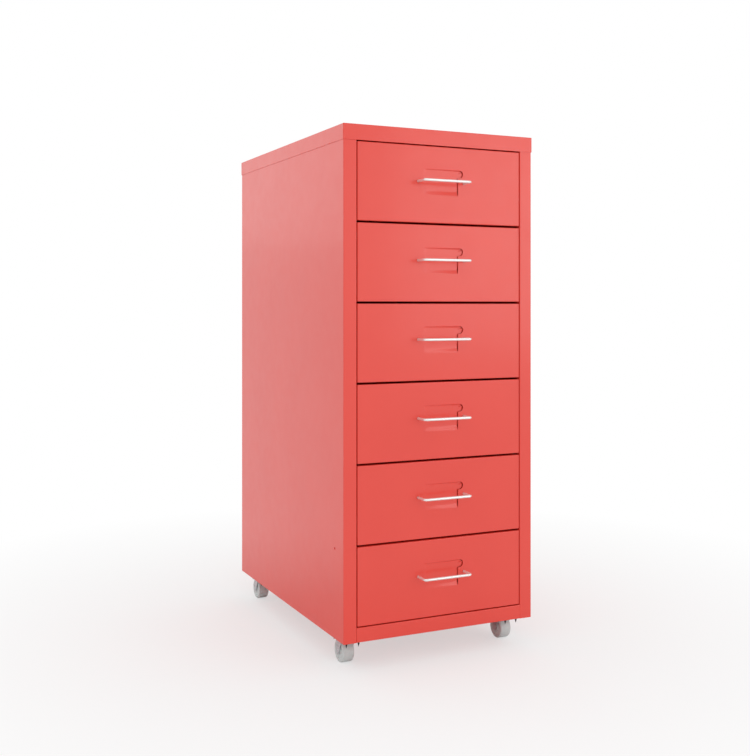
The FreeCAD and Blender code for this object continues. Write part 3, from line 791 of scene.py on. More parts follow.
@dataclass
class DrawerFront:
    """A drawer's front: a folded pan with the label recess pressed into it."""

    number: int
    label: LabelRecess = field(default_factory=LabelRecess)
    gauge: float = 0.8 * MM
    bend: float = 1.0 * MM
    side_flange: float = 14.0 * MM
    end_flange: float = 6.0 * MM
    support: float = 0.3 * MM
    leg: float = 34.0 * MM
    leg_drop: float = 46.2 * MM
    hole: float = 1.95 * MM
    hole_columns: int = 32
    bend_steps: int = 6
    bend_rays: int = 4
    face_rings: int = 5
    wall_rings: int = 11
    floor_rings: int = 5
    line_step: float = 4.0 * MM

    def rays(self, outline: Array, middle: Array, low: Array, high: Array) -> tuple[Array, Array]:
        """Choose the rays from the middle that carry the rings' points.

        Straight runs of the outline get a point about every line_step. At each corner of the
        front, rays cross the bend along both of its edges.

        Args:
            outline: the recess's outline.
            middle: the point that the rays leave.
            low: the front's lower left corner.
            high: its upper right corner.

        Returns:
            The rays' angles in order, and the outline's point on each.
        """
        following = np.roll(outline, -1, axis=0)
        length = np.linalg.norm(following - outline, axis=1)
        counts = np.maximum(np.round(length / self.line_step), 1).astype(int)
        share = np.concatenate([np.arange(count) / count for count in counts])[:, None]
        starts = np.repeat(outline, counts, axis=0)
        points = starts + (np.repeat(following, counts, axis=0) - starts) * share
        offset = points - middle
        angle = np.arctan2(offset[:, 1], offset[:, 0])
        order = np.argsort(angle)
        angle, points = angle[order], points[order]
        bends = []
        away = np.linspace(1.0, 0.0, self.bend_rays)[:, None]
        for x, z in ((low[0], low[1]), (high[0], low[1]), (high[0], high[1]), (low[0], high[1])):
            inside = np.sign(middle - (x, z)) * self.bend
            level = np.array([x, z]) + away * (inside[0], 0.0)
            upright = np.array([x, z]) + away[:-1] * (0.0, inside[1])
            corner = np.concatenate([level, upright]) - middle
            bends.append(np.arctan2(corner[:, 1], corner[:, 0]))
        rays = np.unique(np.round(np.concatenate([angle, *bends]), RAY_DECIMALS))
        outline_x = np.interp(rays, angle, points[:, 0], period=FULL_TURN)
        outline_z = np.interp(rays, angle, points[:, 1], period=FULL_TURN)
        return rays, np.stack([outline_x, outline_z], -1)

    def surface(self) -> Surface:
        """Build the outer side, as rings from the flanges' edge round to the recess's middle.

        A ring is (x, z) points at one depth. The rings go in along the return flange, round its
        bend, along the side, round the face's bend, over the face to the recess's outline, down
        the recess's wall in an S, and to a point in the middle of its floor.

        Returns:
            The surface, open where the recess is sheared.
        """
        low, high = lies(f"drawer_{self.number}_front")
        face, back = low[1], high[1]
        low, high = low[[0, 2]], high[[0, 2]]
        middle = self.label.middle(high[1])
        rays, outline = self.rays(self.label.outline(high[1]), middle, low, high)
        pan = PanRings(low, high, self.bend, rays, middle)
        border = pan.inset(self.bend + self.support)
        turn = np.linspace(0.0, math.pi / 2, self.bend_steps)
        ahead, aside = self.bend * (1.0 - np.cos(turn)), self.bend * (1.0 - np.sin(turn))
        rings = [(pan.inset(self.side_flange, self.end_flange), back), (border, back)]
        rings += [(pan.inset(inset), back - depth) for inset, depth in zip(aside, ahead)]
        rings += [(pan.inset(inset), face + depth) for inset, depth in zip(ahead, aside)]
        rings.append((border, face))

        tangent = np.roll(outline, -1, axis=0) - np.roll(outline, 1, axis=0)
        normal = np.stack([tangent[:, 1], -tangent[:, 0]], -1)
        normal /= np.linalg.norm(normal, axis=1, keepdims=True)
        foot = self.label.foot_line(outline, normal, high[1])
        edge = outline + normal * self.label.shoulder
        shoulder = edge + normal * self.support
        for share in np.linspace(0.0, 1.0, self.face_rings)[1:]:
            rings.append((border + (shoulder - border) * share, face))
        wall = len(rings)
        for share in np.linspace(0.0, 1.0, self.wall_rings):
            ring = edge + (foot - edge) * share
            rings.append((ring, face + self.label.depth_at(ring[:, 0]) * smooth(share)))
        for share in np.linspace(0.0, 1.0, self.floor_rings)[1:]:
            ring = foot + (middle - foot) * share
            rings.append((ring, face + self.label.depth_at(ring[:, 0])))

        grid = np.empty((len(rings), len(rays), 3))
        for row, (ring, depth) in enumerate(rings):
            grid[row, :, 0], grid[row, :, 1], grid[row, :, 2] = ring[:, 0], depth, ring[:, 1]
        sheared = self.label.sheared(outline, normal)
        keep = np.ones((len(rings) - 1, len(rays)), dtype=bool)
        keep[wall:wall + self.wall_rings - 1, sheared & np.roll(sheared, -1)] = False
        surface = Surface()
        surface.add(grid, around=True, flip=True, keep=keep)
        return surface

    def holes(self) -> Surface:
        """Build what is drilled out where the handle's legs go through the face.

        Returns:
            Two short cylinders along Y.
        """
        low, high = lies(f"drawer_{self.number}_front")
        reach = 2.0 * self.gauge
        profile = np.array([(0.0, reach), (self.hole, reach), (self.hole, -reach), (0.0, -reach)])
        surface = Surface()
        for x in (-self.leg, self.leg):
            centre = np.array([x, low[1], high[2] - self.leg_drop])
            surface.turn(profile, Axis.Y, centre, self.hole_columns)
        return surface

    def build(self, workshop: Workshop) -> None:
        """Make the front and let it ride on its drawer."""
        workshop.show(self.surface(), f"drawer_{self.number}_front", f"drawer_{self.number}",
                      Look.PAINT, self.gauge, holes=self.holes())


@dataclass
class BackPanel:
    """The rear sheet with its middle field pressed in between soft shoulders."""

    gauge: float = 0.8 * MM
    margin: float = 32.0 * MM
    depth: float = 2.0 * MM
    corner: float = 9.0 * MM
    shoulder: float = 5.0 * MM
    wall_rings: int = 11
    side_rays: int = 10
    corner_rays: int = 9
    field_rings: Triple = (0.3, 0.7, 1.0)

    def rays(self, low: Array, high: Array) -> Array:
        """Choose the rays from the middle that carry the rings' points.

        They go to points along the field's sides and round its corners, and to the panel's
        corners.

        Args:
            low: the panel's lower left corner.
            high: its upper right corner.

        Returns:
            The rays' angles in order.
        """
        middle = (low + high) / 2
        reach = high - self.margin - middle
        sides = middle + reach * np.linspace(-1, 1, self.side_rays)[:, None]
        right = np.stack([np.full(self.side_rays, middle[0] + reach[0]), sides[:, 1]], -1)
        top = np.stack([sides[:, 0], np.full(self.side_rays, middle[1] + reach[1])], -1)
        corners = np.array([high, (low[0], high[1]), low, (high[0], low[1])])
        lines = [corners, right, top, 2 * middle - right, 2 * middle - top]
        for start, sign in ((0, (1, 1)), (90, (-1, 1)), (180, (-1, -1)), (270, (1, -1))):
            centre = middle + (reach - self.corner) * sign
            lines.append(arc(tuple(centre), self.corner, start, start + 90, self.corner_rays))
        offset = np.concatenate(lines) - middle
        return np.unique(np.round(np.arctan2(offset[:, 1], offset[:, 0]), RAY_DECIMALS))

    def surface(self) -> Surface:
        """Build the outer side: a flat border, an S-shaped shoulder and a flat field.

        The border's ring is the panel's rectangle, and the others are round-cornered rectangles
        inside it.

        Returns:
            The surface.
        """
        low, high = lies("back_panel")
        outside = high[1]
        low, high = low[[0, 2]], high[[0, 2]]
        middle = (low + high) / 2
        rays = self.rays(low, high)
        edge = PanRings(low, high, self.corner, rays, middle)
        press = PanRings(low + self.margin, high - self.margin, self.corner, rays, middle)
        grid = [self.ring(edge.rim, outside)]
        for share in np.linspace(0.0, 1.0, self.wall_rings):
            depth = self.depth * float(smooth(share))
            grid.append(self.ring(press.inset(self.shoulder * share), outside - depth))
        foot = press.inset(self.shoulder)
        for share in self.field_rings:
            grid.append(self.ring(foot + (middle - foot) * share, outside - self.depth))
        surface = Surface()
        surface.add(np.stack(grid), around=True)
        return surface

    @staticmethod
    def ring(points: Array, depth: float) -> Array:
        """Return (x, z) points as a row of the grid at one depth."""
        return np.stack([points[:, 0], np.full(len(points), depth), points[:, 1]], -1)

    def build(self, workshop: Workshop) -> None:
        """Make the panel and fix it to the cabinet."""
        workshop.show(self.surface(), "back_panel", "cabinet", Look.PAINT, self.gauge)


# Handles and fasteners


@dataclass
class WireHandle:
    """A handle bent from round wire: two legs through the front and a bar between them."""

    number: int
    wire: float = 3.5 * MM
    bend: float = 3.6 * MM
    bend_steps: int = 16
    leg_shares: tuple[float, ...] = (0.0, 0.05, 0.35, 1.0)
    bar_points: int = 12
    end_round: float = 0.7 * MM
    end_angles: tuple[float, ...] = (90.0, 65.0, 40.0, 18.0)
    columns: int = 28

    def route(self, low: Array, high: Array) -> tuple[Array, Array]:
        """Lay the wire's path: the legs run along Y, quarter arcs turn them, the bar runs along X.

        Args:
            low: the handle's lowest corner.
            high: its highest corner.

        Returns:
            The path's points (x, y) from tail to tail, and the way that it goes at each.
        """
        radius = self.wire / 2
        left, right = low[0] + radius, high[0] - radius
        bar, tail = low[1] + radius, high[1]
        centre = bar + self.bend
        leg = tail + (centre - tail) * np.array(self.leg_shares)
        first = np.stack([np.full(len(leg), left), leg], -1)
        turn = arc((left + self.bend, centre), self.bend, 180, 270, self.bend_steps)
        run = np.linspace(left + self.bend, right - self.bend, self.bar_points)[1:-1]
        half = np.concatenate([first[:-1], turn])
        mirrored = (half * (-1, 1) + (left + right, 0))[::-1]
        path = np.concatenate([half, np.stack([run, np.full(len(run), bar)], -1), mirrored])
        way = np.gradient(path, axis=0)
        return path, way / np.linalg.norm(way, axis=1, keepdims=True)

    def surface(self) -> Surface:
        """Build the tube: circles across the path, with rounded tail ends.

        A tail's end is closed by circles that shrink as the cosine of an angle while they move
        out as its sine.

        Returns:
            The surface.
        """
        low, high = lies(f"drawer_{self.number}_handle")
        path, way = self.route(low, high)
        radius = self.wire / 2
        level = (low[2] + high[2]) / 2
        rounding = np.radians(np.array(self.end_angles))
        inset = self.end_round * (1 - np.sin(rounding))
        shrink = radius - self.end_round * (1 - np.cos(rounding))
        start = path[0] + way[0] * inset[:, None]
        end = (path[-1] - way[-1] * inset[:, None])[::-1]
        path = np.concatenate([path[:1], start, path[1:-1], end, path[-1:]])
        ends = len(inset) + 1
        way = np.concatenate([np.repeat(way[:1], ends, 0), way[1:-1], np.repeat(way[-1:], ends, 0)])
        middle = np.full(len(path) - 2 * ends, radius)
        size = np.concatenate([[0.0], shrink, middle, shrink[::-1], [0.0]])
        angle = round_angles(self.columns)
        side = np.stack([-way[:, 1], way[:, 0]], -1)
        grid = np.empty((len(path), self.columns, 3))
        grid[..., :2] = path[:, None] + side[:, None] * (size[:, None] * np.cos(angle))[..., None]
        grid[..., 2] = level + size[:, None] * np.sin(angle)
        surface = Surface()
        surface.add(grid, around=True, flip=True)
        return surface

    def build(self, workshop: Workshop) -> None:
        """Make the handle and let it ride on its drawer."""
        workshop.show(
            self.surface(), f"drawer_{self.number}_handle", f"drawer_{self.number}", Look.WIRE)


@dataclass
class PushNuts:
    """Two toothed spring washers that grip a handle's legs behind the front."""

    number: int
    wire: float = 3.5 * MM
    gauge: float = 0.35 * MM
    rise: float = 0.25 * MM
    steepness: float = 1.4
    teeth: int = 6
    slot_depth: float = 1.3 * MM
    slot_start: float = 0.6
    slot_blend: float = 0.2
    rings: int = 8
    columns: int = 72

    def surface(self) -> Surface:
        """Build both washers' outer sides.

        A washer is a shallow cone whose inner edge rises to the wire. Between its teeth the inner
        edge steps out by the slots' depth, where the cosine of the angle times the number of
        teeth is near 1.

        Returns:
            The surface.
        """
        low, high = lies(f"drawer_{self.number}_push_nuts")
        radius = (high[2] - low[2]) / 2
        angle = round_angles(self.columns)
        slots = smooth((np.cos(angle * self.teeth) - self.slot_start) / self.slot_blend)
        inner = self.wire / 2 + self.slot_depth * slots
        share = np.linspace(0.0, 1.0, self.rings)[:, None]
        across = inner + (radius - inner) * share
        raised = self.rise * smooth(1.0 - share * self.steepness) * np.ones_like(across)
        profile = np.stack([across, raised], -1)
        surface = Surface()
        for x in (low[0] + radius, high[0] - radius):
            centre = np.array([x, high[1] - self.rise, (low[2] + high[2]) / 2])
            surface.turn_shaped(profile, angle, Axis.Y, centre)
        return surface

    def build(self, workshop: Workshop) -> None:
        """Make the washers and let them ride on their drawer."""
        workshop.show(self.surface(), f"drawer_{self.number}_push_nuts", f"drawer_{self.number}",
                      Look.ZINC, self.gauge)


@dataclass
class BlindRivets:
    """Blind rivets: a domed head with the stub of its pin, a shank, and a tail bulb."""

    head: float = 3.2 * MM
    dome: float = 0.7 * MM
    dome_start: float = 75.0
    dome_points: int = 8
    shank: float = 1.6 * MM
    grip: float = 1.6 * MM
    bulb: float = 2.5 * MM
    bulb_points: int = 7
    pin: float = 0.9 * MM
    pin_flat: float = 0.8
    pin_level: float = 0.97
    pin_depth: float = 0.35 * MM
    columns: int = 28
    back_rows: int = 5

    def profile(self) -> Array:
        """Work out a rivet's profile from the pin's stub to the tail.

        Height 0 is the head's underside, and the head is above it. The dome is an arc of an
        ellipse, and the tail's bulb is another.

        Returns:
            The profile's points, (radius, height).
        """
        stub = np.array([
            (0.0, self.dome - self.pin_depth),
            (self.pin * self.pin_flat, self.dome - self.pin_depth),
            (self.pin, self.dome * self.pin_level),
        ])
        head = ellipse((0.0, 0.0), self.head, self.dome, self.dome_start, 0, self.dome_points)
        neck = np.array([(self.shank, 0.0), (self.shank, -self.grip)])
        bulb = ellipse((0.0, -self.grip), self.bulb, -self.dome, 0, 90, self.bulb_points)
        return np.concatenate([stub, head[1:], neck, bulb])

    def build_back(self, workshop: Workshop) -> None:
        """Make the back panel's rivets, in one row down each side.

        Args:
            workshop: the workshop that dresses them.
        """
        low, high = lies("back_rivets")
        surface = Surface()
        for x in (low[0] + self.head, high[0] - self.head):
            for z in np.linspace(low[2] + self.head, high[2] - self.head, self.back_rows):
                centre = np.array([x, high[1] - self.dome, z])
                surface.turn(self.profile(), Axis.Y, centre, self.columns)
        workshop.show(surface, "back_rivets", "cabinet", Look.ZINC)

    def build_rails(self, workshop: Workshop) -> None:
        """Make the front rails' rivets, with their heads on the outer side of each stile's lip.

        Args:
            workshop: the workshop that dresses them.
        """
        low, high = lies("rail_rivets")
        surface = Surface()
        for z in (low[2] + self.head, high[2] - self.head):
            for x, outward in ((low[0] + self.dome, -1.0), (high[0] - self.dome, 1.0)):
                centre = np.array([x, (low[1] + high[1]) / 2, z])
                profile = self.profile() * (1.0, outward)
                ordered = profile if outward > 0 else profile[::-1]
                surface.turn(ordered, Axis.X, centre, self.columns)
        workshop.show(surface, "rail_rivets", "cabinet", Look.ZINC)


@dataclass
class CasterScrews:
    """Pointed thread-forming screws: a pan head with a cross, a thread and a taper to the tip."""

    across: float = 17.0 * MM
    along: float = 40.0 * MM
    outer: float = 1.5 * MM
    root: float = 1.08 * MM
    pitch: float = 1.3 * MM
    taper: float = 4.2 * MM
    tip: float = 0.12 * MM
    head: float = 3.25 * MM
    head_height: float = 1.8 * MM
    head_rings: tuple[float, ...] = (
        0.0, 0.12, 0.2, 0.28, 0.36, 0.44, 0.52, 0.6, 0.75, 0.88, 0.97, 1.0)
    head_fall: float = 0.86
    head_power: float = 2.4
    rim_height: float = 0.15 * MM
    rim_share: float = 0.95
    cross_reach: float = 1.7 * MM
    cross_ease: float = 0.4 * MM
    cross_half: float = 0.38 * MM
    cross_blend: float = 0.6
    cross_depth: float = 1.0 * MM
    stop_step: float = 0.382
    columns: int = 24
    rows_per_turn: int = 6

    def profile(self, length: float, angle: Array) -> Array:
        """Work out a screw's profile. Height 0 is the head's underside.

        The head's height falls outwards as the root of 1 less head_fall times a power of the
        radius's share, and is sunk where its points lie inside the cross. Below the head, the
        radius is the root's plus the thread's crest, a triangle wave that runs down by one pitch
        each turn, squared to narrow it. Near the tip all of it shrinks in line with the height.

        Args:
            length: how far the tip is below the head.
            angle: the columns' angles.

        Returns:
            (radius, height) for each row and column.
        """
        share = np.array(self.head_rings)[:, None]
        across = self.head * share * np.ones_like(angle)
        height = self.head_height * np.sqrt(1.0 - self.head_fall * share ** self.head_power)
        beside = np.minimum(np.abs(across * np.cos(angle)), np.abs(across * np.sin(angle)))
        inside = smooth((self.cross_half - beside) / (self.cross_half * self.cross_blend) + 0.5)
        inside = inside * smooth((self.cross_reach - across) / self.cross_ease)
        crown = np.stack([across, height - self.cross_depth * inside], -1)
        rim = np.array([
            (self.head, self.rim_height), (self.head * self.rim_share, 0.0), (self.outer, 0.0)])
        rim = np.repeat(rim[:, None, :], len(angle), axis=1)

        rows = int(length / self.pitch * self.rows_per_turn)
        depth = np.linspace(0.0, length, rows)[:, None]
        phase = (depth / self.pitch + angle / FULL_TURN) % 1.0
        crest = (1.0 - np.abs(2.0 * phase - 1.0)) ** 2
        fade = np.clip((length - depth) / self.taper, 0.0, 1.0)
        thread = (self.root + (self.outer - self.root) * crest) * fade + self.tip * (1.0 - fade)
        shank = np.stack([thread, -depth * np.ones_like(angle)], -1)
        end = np.zeros((1, len(angle), 2))
        end[..., 1] = -length
        return np.concatenate([crown, rim, shank, end])

    def build(self, workshop: Workshop) -> None:
        """Make all the screws, four through each caster plate, each stopped at another angle.

        Args:
            workshop: the workshop that dresses them.
        """
        low, high = lies("caster_screws")
        seat = high[2] - self.head_height
        angle = round_angles(self.columns)
        profile = self.profile(seat - low[2], angle)
        places = [
            centre_of(f"caster_plate_{corner}")[:2] + (x * self.across / 2, y * self.along / 2)
            for corner in CORNERS for x, y in ((-1, -1), (1, -1), (-1, 1), (1, 1))
        ]
        surface = Surface()
        for number, place in enumerate(places):
            stop = FULL_TURN * (number * self.stop_step % 1.0)
            surface.turn_shaped(profile, angle + stop, Axis.Z, np.append(place, seat))
        workshop.show(surface, "caster_screws", "cabinet", Look.BLACK)


@dataclass
class Kingpins:
    """The rivets that the forks swivel on, each with a domed head under its fork's crown."""

    shank: float = 2.5 * MM
    head: float = 4.5 * MM
    head_height: float = 1.2 * MM
    dome_end: float = 78.0
    dome_points: int = 9
    dimple: float = 0.35 * MM
    dimple_share: float = 0.1
    columns: int = 36

    def build(self, workshop: Workshop) -> None:
        """Make the four rivets. The dome is an arc of an ellipse with a dimple at its end.

        Args:
            workshop: the workshop that dresses them.
        """
        low, high = lies("caster_kingpins")
        seat = low[2] + self.head_height
        top = high[2] - seat
        start = [(0.0, top), (self.shank, top), (self.shank, 0.0)]
        head = ellipse(
            (0.0, 0.0), self.head, -self.head_height, 0, self.dome_end, self.dome_points)
        sunk = self.dimple - self.head_height
        end = [(self.head * self.dimple_share, sunk), (0.0, sunk)]
        profile = np.concatenate([start, head, end])
        surface = Surface()
        for corner in CORNERS:
            centre = np.append(centre_of(f"caster_plate_{corner}")[:2], seat)
            surface.turn(profile, Axis.Z, centre, self.columns)
        workshop.show(surface, "caster_kingpins", "cabinet", Look.ZINC)


# Casters


@dataclass
class Fork:
    """A caster's stamped fork: one strap that goes up a leg, over the crown and down again."""

    corner: str
    gauge: float = 1.3 * MM
    bend: float = 2.0 * MM
    bend_points: int = 8
    boss: float = 4.5 * MM
    boss_points: int = 10
    leg_points: int = 14
    crown_points: int = 8
    front_ease: float = 0.9 * MM
    rear_ease: float = 1.0 * MM
    flare: float = 0.9
    flare_start: float = 0.05
    edge: float = 0.25 * MM
    across: tuple[float, ...] = (0.0, 0.03, 0.08, 0.15, 0.3, 0.5, 0.7, 0.85, 0.92, 0.97, 1.0)

    def surface(self) -> Surface:
        """Build the outer side.

        Along the strap, a point of its middle line is (x, z), with a quarter arc at each bend.
        Across it, y runs from the front edge to the rear edge of the leg at that height. Below
        the axle both edges follow the boss's circle, and above it they flare to the crown in
        an S.

        Returns:
            The surface.
        """
        low, high = lies(f"caster_fork_{self.corner}")
        axle = centre_of(f"caster_axle_{self.corner}")
        knee = high[2] - self.bend
        turn = np.radians(np.linspace(90.0, 0.0, self.boss_points))
        round_z = axle[2] - self.boss * np.sin(turn)
        leg_z = np.linspace(axle[2], knee, self.leg_points)[1:]
        leg_x = np.full(len(round_z) + len(leg_z), low[0])
        bend = arc((low[0] + self.bend, knee), self.bend, 180, 90, self.bend_points)[1:]
        crown_x = np.linspace(low[0] + self.bend, axle[0], self.crown_points)[1:]
        x = np.concatenate([leg_x, bend[:, 0], crown_x])
        z = np.concatenate([round_z, leg_z, bend[:, 1], np.full(len(crown_x), high[2])])

        rise = smooth((z - axle[2]) / (knee - axle[2]) * self.flare + self.flare_start)
        rise = np.where(z <= axle[2], 0.0, rise)
        inward = smooth((x - low[0]) / (axle[0] - low[0]))
        half = np.full(len(z), self.boss)
        half[:len(turn)] = self.boss * np.cos(turn)
        front_top = low[1] + self.front_ease * (1.0 - inward)
        rear_top = high[1] - self.rear_ease
        front = (axle[1] - half) * (1.0 - rise) + front_top * rise
        rear = (axle[1] + half) * (1.0 - rise) + rear_top * rise

        strap = np.empty((len(z), len(self.across), 3))
        strap[..., 0] = x[:, None]
        strap[..., 1] = front[:, None] + (rear - front)[:, None] * np.array(self.across)
        strap[..., 2] = z[:, None]
        mirrored = strap[::-1][1:] * (-1.0, 1.0, 1.0) + (2.0 * axle[0], 0.0, 0.0)
        surface = Surface()
        surface.add(np.concatenate([strap, mirrored]))
        return surface


@dataclass
class Axle:
    """A caster's axle: a shaft between two domed heads, each with a dimple in its middle."""

    corner: str
    shaft: float = 2.0 * MM
    head: float = 3.0 * MM
    dome: float = 0.8 * MM
    dome_start: float = 80.0
    dome_points: int = 9
    dimple: float = 0.3 * MM
    dimple_share: float = 0.12
    dimple_ease: float = 0.7
    columns: int = 32

    def surface(self) -> Surface:
        """Build the axle. Half a profile runs from one head's middle to the shaft's middle.

        Returns:
            The surface.
        """
        low, high = lies(f"caster_axle_{self.corner}")
        centre = (low + high) / 2
        reach = high[0] - centre[0]
        shoulder = reach - self.dome
        start = [
            (0.0, reach - self.dimple),
            (self.head * self.dimple_share, reach - self.dimple * self.dimple_ease),
        ]
        head = ellipse(
            (0.0, shoulder), self.head, self.dome, self.dome_start, 0, self.dome_points)
        shaft = [(self.shaft, shoulder), (self.shaft, 0.0)]
        surface = Surface()
        profile = doubled(np.concatenate([start, head, shaft]))
        surface.turn(profile, Axis.X, centre, self.columns)
        return surface


@dataclass
class Wheel:
    """A caster's moulded wheel: a tread, round shoulders, sunk webs, hubs and a bore."""

    corner: str
    bore: float = 2.1 * MM
    hub: float = 5.0 * MM
    web: float = 11.0 * MM
    recess: float = 1.0 * MM
    draft: float = 0.6 * MM
    edge: float = 0.3 * MM
    tread_round: float = 2.0 * MM
    round_points: int = 10
    tread_points: int = 7
    barrel: float = 0.15 * MM
    parting: float = 0.06 * MM
    parting_half: float = 0.25 * MM
    columns: int = 96

    def surface(self) -> Surface:
        """Build the wheel.

        Half a profile runs from the bore over one side to the middle of the tread, as (radius,
        offset along the axle). The tread's radius falls from its middle by the barrel times the
        square of the offset, and a fine parting line stands up along its middle.

        Returns:
            The surface.
        """
        low, high = lies(f"caster_wheel_{self.corner}")
        centre = (low + high) / 2
        half = high[0] - centre[0]
        radius = high[2] - centre[2]
        shoulder = half - self.tread_round
        side = [
            (self.bore, 0.0),
            (self.bore, half - self.edge),
            (self.bore + self.edge, half),
            (self.hub - self.edge, half),
            (self.hub, half - self.edge),
            (self.hub + self.draft, half - self.recess),
            (self.web - self.draft, half - self.recess),
            (self.web, half - self.edge),
            (self.web + self.edge, half),
        ]
        turn = arc(
            (radius - self.tread_round, shoulder), self.tread_round, 90, 0, self.round_points)
        offset = np.linspace(shoulder, self.parting_half, self.tread_points)[1:]
        offset = np.append(offset, 0.0)
        tread = np.stack([np.full(len(offset), radius), offset], -1)
        tread[:, 0] -= self.barrel * (offset / half) ** 2 + self.parting * (offset > 0.0)
        surface = Surface()
        profile = doubled(np.concatenate([side, turn, tread]))
        surface.turn(profile, Axis.X, centre, self.columns)
        return surface


@dataclass
class Caster:
    """One swivel caster: a fork and its axle, which swivel, and a wheel, which rolls."""

    corner: str

    def build(self, workshop: Workshop) -> None:
        """Make the three pieces, each on its own body.

        Args:
            workshop: the workshop that dresses them.
        """
        fork = Fork(self.corner)
        axle = Axle(self.corner)
        wheel = Wheel(self.corner)
        body = f"fork_{self.corner}"
        workshop.show(fork.surface(), f"caster_fork_{self.corner}", body, Look.ZINC,
                      fork.gauge, fork.edge)
        workshop.show(axle.surface(), f"caster_axle_{self.corner}", body, Look.ZINC)
        workshop.show(wheel.surface(), f"caster_wheel_{self.corner}", f"wheel_{self.corner}",
                      Look.PLASTIC)


# Studio


@dataclass(frozen=True)
class Lamp:
    """One soft rectangular studio lamp, aimed at a point."""

    name: str
    place: Triple
    target: Triple
    width: float
    height: float
    watts: float

    def hang(self) -> None:
        """Put the lamp into the scene."""
        light = bpy.data.lights.new(self.name, "AREA")
        light.shape = "RECTANGLE"
        light.size = self.width
        light.size_y = self.height
        light.energy = self.watts
        lamp = bpy.data.objects.new(self.name, light)
        bpy.context.scene.collection.objects.link(lamp)
        offset = np.array(self.target) - np.array(self.place)
        level = math.hypot(offset[0], offset[1])
        lamp.location = self.place
        lamp.rotation_euler = (
            math.atan2(level, -offset[2]), 0.0, math.atan2(-offset[0], offset[1]))


def math_node(tree: bpy.types.NodeTree, operation: str, first: Socket, last: Socket) -> Socket:
    """Work out a sum, product or the like of two values.

    Args:
        tree: the node tree.
        operation: the node's name for what is worked out.
        first: the first value.
        last: the second value.

    Returns:
        The result.
    """
    node = tree.nodes.new("ShaderNodeMath")
    node.operation = operation
    tree.links.new(first, node.inputs[0])
    tree.links.new(last, node.inputs[1])
    return node.outputs["Value"]


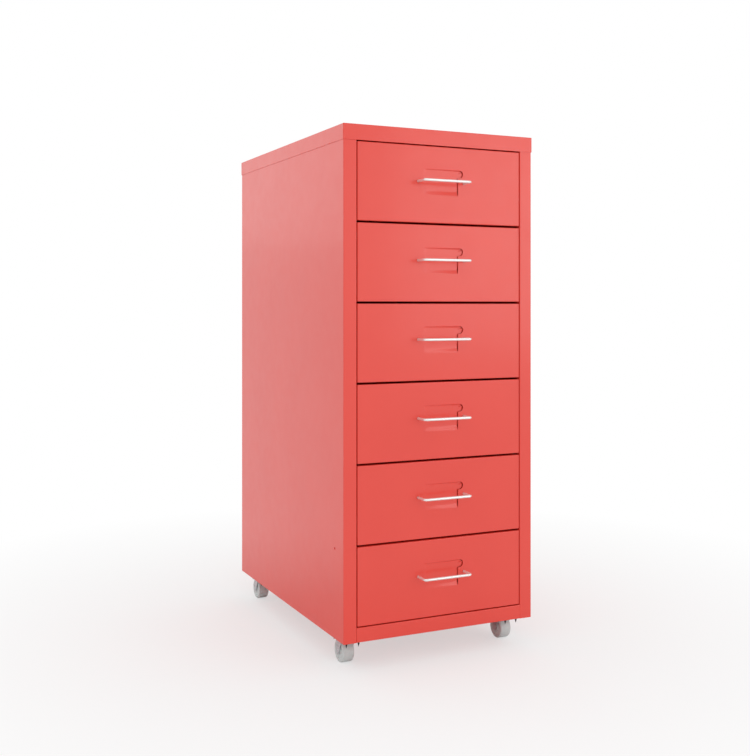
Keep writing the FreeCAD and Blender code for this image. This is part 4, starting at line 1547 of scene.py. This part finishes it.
@dataclass
class Studio:
    """A pale floor, a white surround, soft lamps and the camera.

    The camera stands level. The turn is how far it looks to the right of the cabinet's depth, in
    radians, and the horizon is measured from the top of the image.
    """

    eye: Triple = (-0.6627, -1.3984, 0.4618)
    turn: float = 0.44
    focal_pixels: float = 1050.0
    horizon_pixel: float = 305.2
    sensor: float = 36.0
    ambient: float = 0.795
    near_white: float = 0.55
    fade: Pair = (0.20, 0.90)
    gloss_fade: Pair = (0.30, 0.70)
    floor_size: float = 12.0
    floor_color: Triple = (0.90, 0.90, 0.90)
    floor_roughness: float = 0.9
    lamps: tuple[Lamp, ...] = (
        Lamp("front_high", (-0.7, -2.2, 1.9), (0.0, 0.0, 0.35), 1.4, 1.4, 4.9),
        Lamp("right_low", (1.5, -2.25, 0.8), (0.0, -0.2, 0.5), 1.0, 1.0, 5.7),
        Lamp("left_rear", (-1.5, 2.6, 1.5), (0.0, 0.0, 0.5), 1.4, 1.6, 3.2),
    )

    def paint_surround(self) -> None:
        """Make the world white to the eye, gloss and glass, and softer as a lamp."""
        world = bpy.data.worlds.new("surround")
        bpy.context.scene.world = world
        world.use_nodes = True
        tree = world.node_tree
        rays = tree.nodes.new("ShaderNodeLightPath").outputs
        seen = math_node(tree, "MAXIMUM", rays["Is Camera Ray"], rays["Is Glossy Ray"])
        seen = math_node(tree, "MAXIMUM", seen, rays["Is Transmission Ray"])
        background = tree.nodes["Background"]
        background.inputs["Color"].default_value = rgba((1.0, 1.0, 1.0))
        strength = tree.nodes.new("ShaderNodeMapRange")
        strength.inputs["To Min"].default_value = self.ambient
        strength.inputs["To Max"].default_value = 1.0
        tree.links.new(seen, strength.inputs["Value"])
        tree.links.new(strength.outputs["Result"], background.inputs["Strength"])

    def lay_floor(self) -> None:
        """Lay a floor that keeps the shadow near the cabinet and turns white further out.

        The share of white grows with the distance from the middle. The eye sees a share near the
        cabinet too, and gloss sees none there.
        """
        half = self.floor_size / 2
        corners = [(-half, -half, 0.0), (half, -half, 0.0), (half, half, 0.0), (-half, half, 0.0)]
        mesh = bpy.data.meshes.new("floor")
        mesh.from_pydata(corners, [], [(0, 1, 2, 3)])
        floor = bpy.data.objects.new("floor", mesh)
        bpy.context.scene.collection.objects.link(floor)
        shader = Shader("floor")
        shader.surface.inputs["Base Color"].default_value = rgba(self.floor_color)
        shader.set(Roughness=self.floor_roughness)
        tree = shader.material.node_tree
        white = shader.nodes.new("ShaderNodeEmission")
        white.inputs["Strength"].default_value = 1.0
        distance = shader.nodes.new("ShaderNodeVectorMath")
        distance.operation = "LENGTH"
        shader.link(shader.place, distance.inputs[0])
        far = distance.outputs["Value"]
        rays = shader.nodes.new("ShaderNodeLightPath").outputs
        eye = math_node(tree, "MAXIMUM", rays["Is Camera Ray"], rays["Is Transmission Ray"])
        seen = shader.spread(far, (self.near_white, 1.0), self.fade)
        seen = math_node(tree, "MULTIPLY", eye, seen)
        gloss = shader.spread(far, (0.0, 1.0), self.gloss_fade)
        gloss = math_node(tree, "MULTIPLY", rays["Is Glossy Ray"], gloss)
        both = shader.nodes.new("ShaderNodeMixShader")
        shader.link(math_node(tree, "MAXIMUM", seen, gloss), both.inputs["Fac"])
        shader.link(shader.surface.outputs["BSDF"], both.inputs[1])
        shader.link(white.outputs["Emission"], both.inputs[2])
        shader.link(both.outputs["Shader"], shader.nodes["Material Output"].inputs["Surface"])
        mesh.materials.append(shader.material)

    def set_camera(self) -> None:
        """Stand the camera level at the photograph's place, shifted to the photograph's frame."""
        camera = bpy.data.cameras.new("camera")
        camera.sensor_width = self.sensor
        camera.lens = self.sensor * self.focal_pixels / IMAGE_HEIGHT
        camera.shift_y = (self.horizon_pixel - IMAGE_HEIGHT / 2) / IMAGE_HEIGHT
        eye = bpy.data.objects.new("camera", camera)
        eye.location = self.eye
        eye.rotation_euler = (math.pi / 2, 0.0, -self.turn)
        bpy.context.scene.collection.objects.link(eye)
        bpy.context.scene.camera = eye

    def build(self) -> None:
        """Set up the whole studio."""
        bpy.context.scene.view_settings.view_transform = "Standard"
        self.paint_surround()
        self.lay_floor()
        for lamp in self.lamps:
            lamp.hang()
        self.set_camera()


def main() -> None:
    """Build the studio and the looks of the cabinet."""
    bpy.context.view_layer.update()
    Studio().build()
    workshop = Workshop()
    workshop.dress_frame()
    BackPanel().build(workshop)
    rivets = BlindRivets()
    rivets.build_back(workshop)
    rivets.build_rails(workshop)
    for number in DRAWERS:
        DrawerFront(number).build(workshop)
        WireHandle(number).build(workshop)
        PushNuts(number).build(workshop)
    CasterScrews().build(workshop)
    Kingpins().build(workshop)
    for corner in CORNERS:
        Caster(corner).build(workshop)


if __name__ == "__main__":
    main()
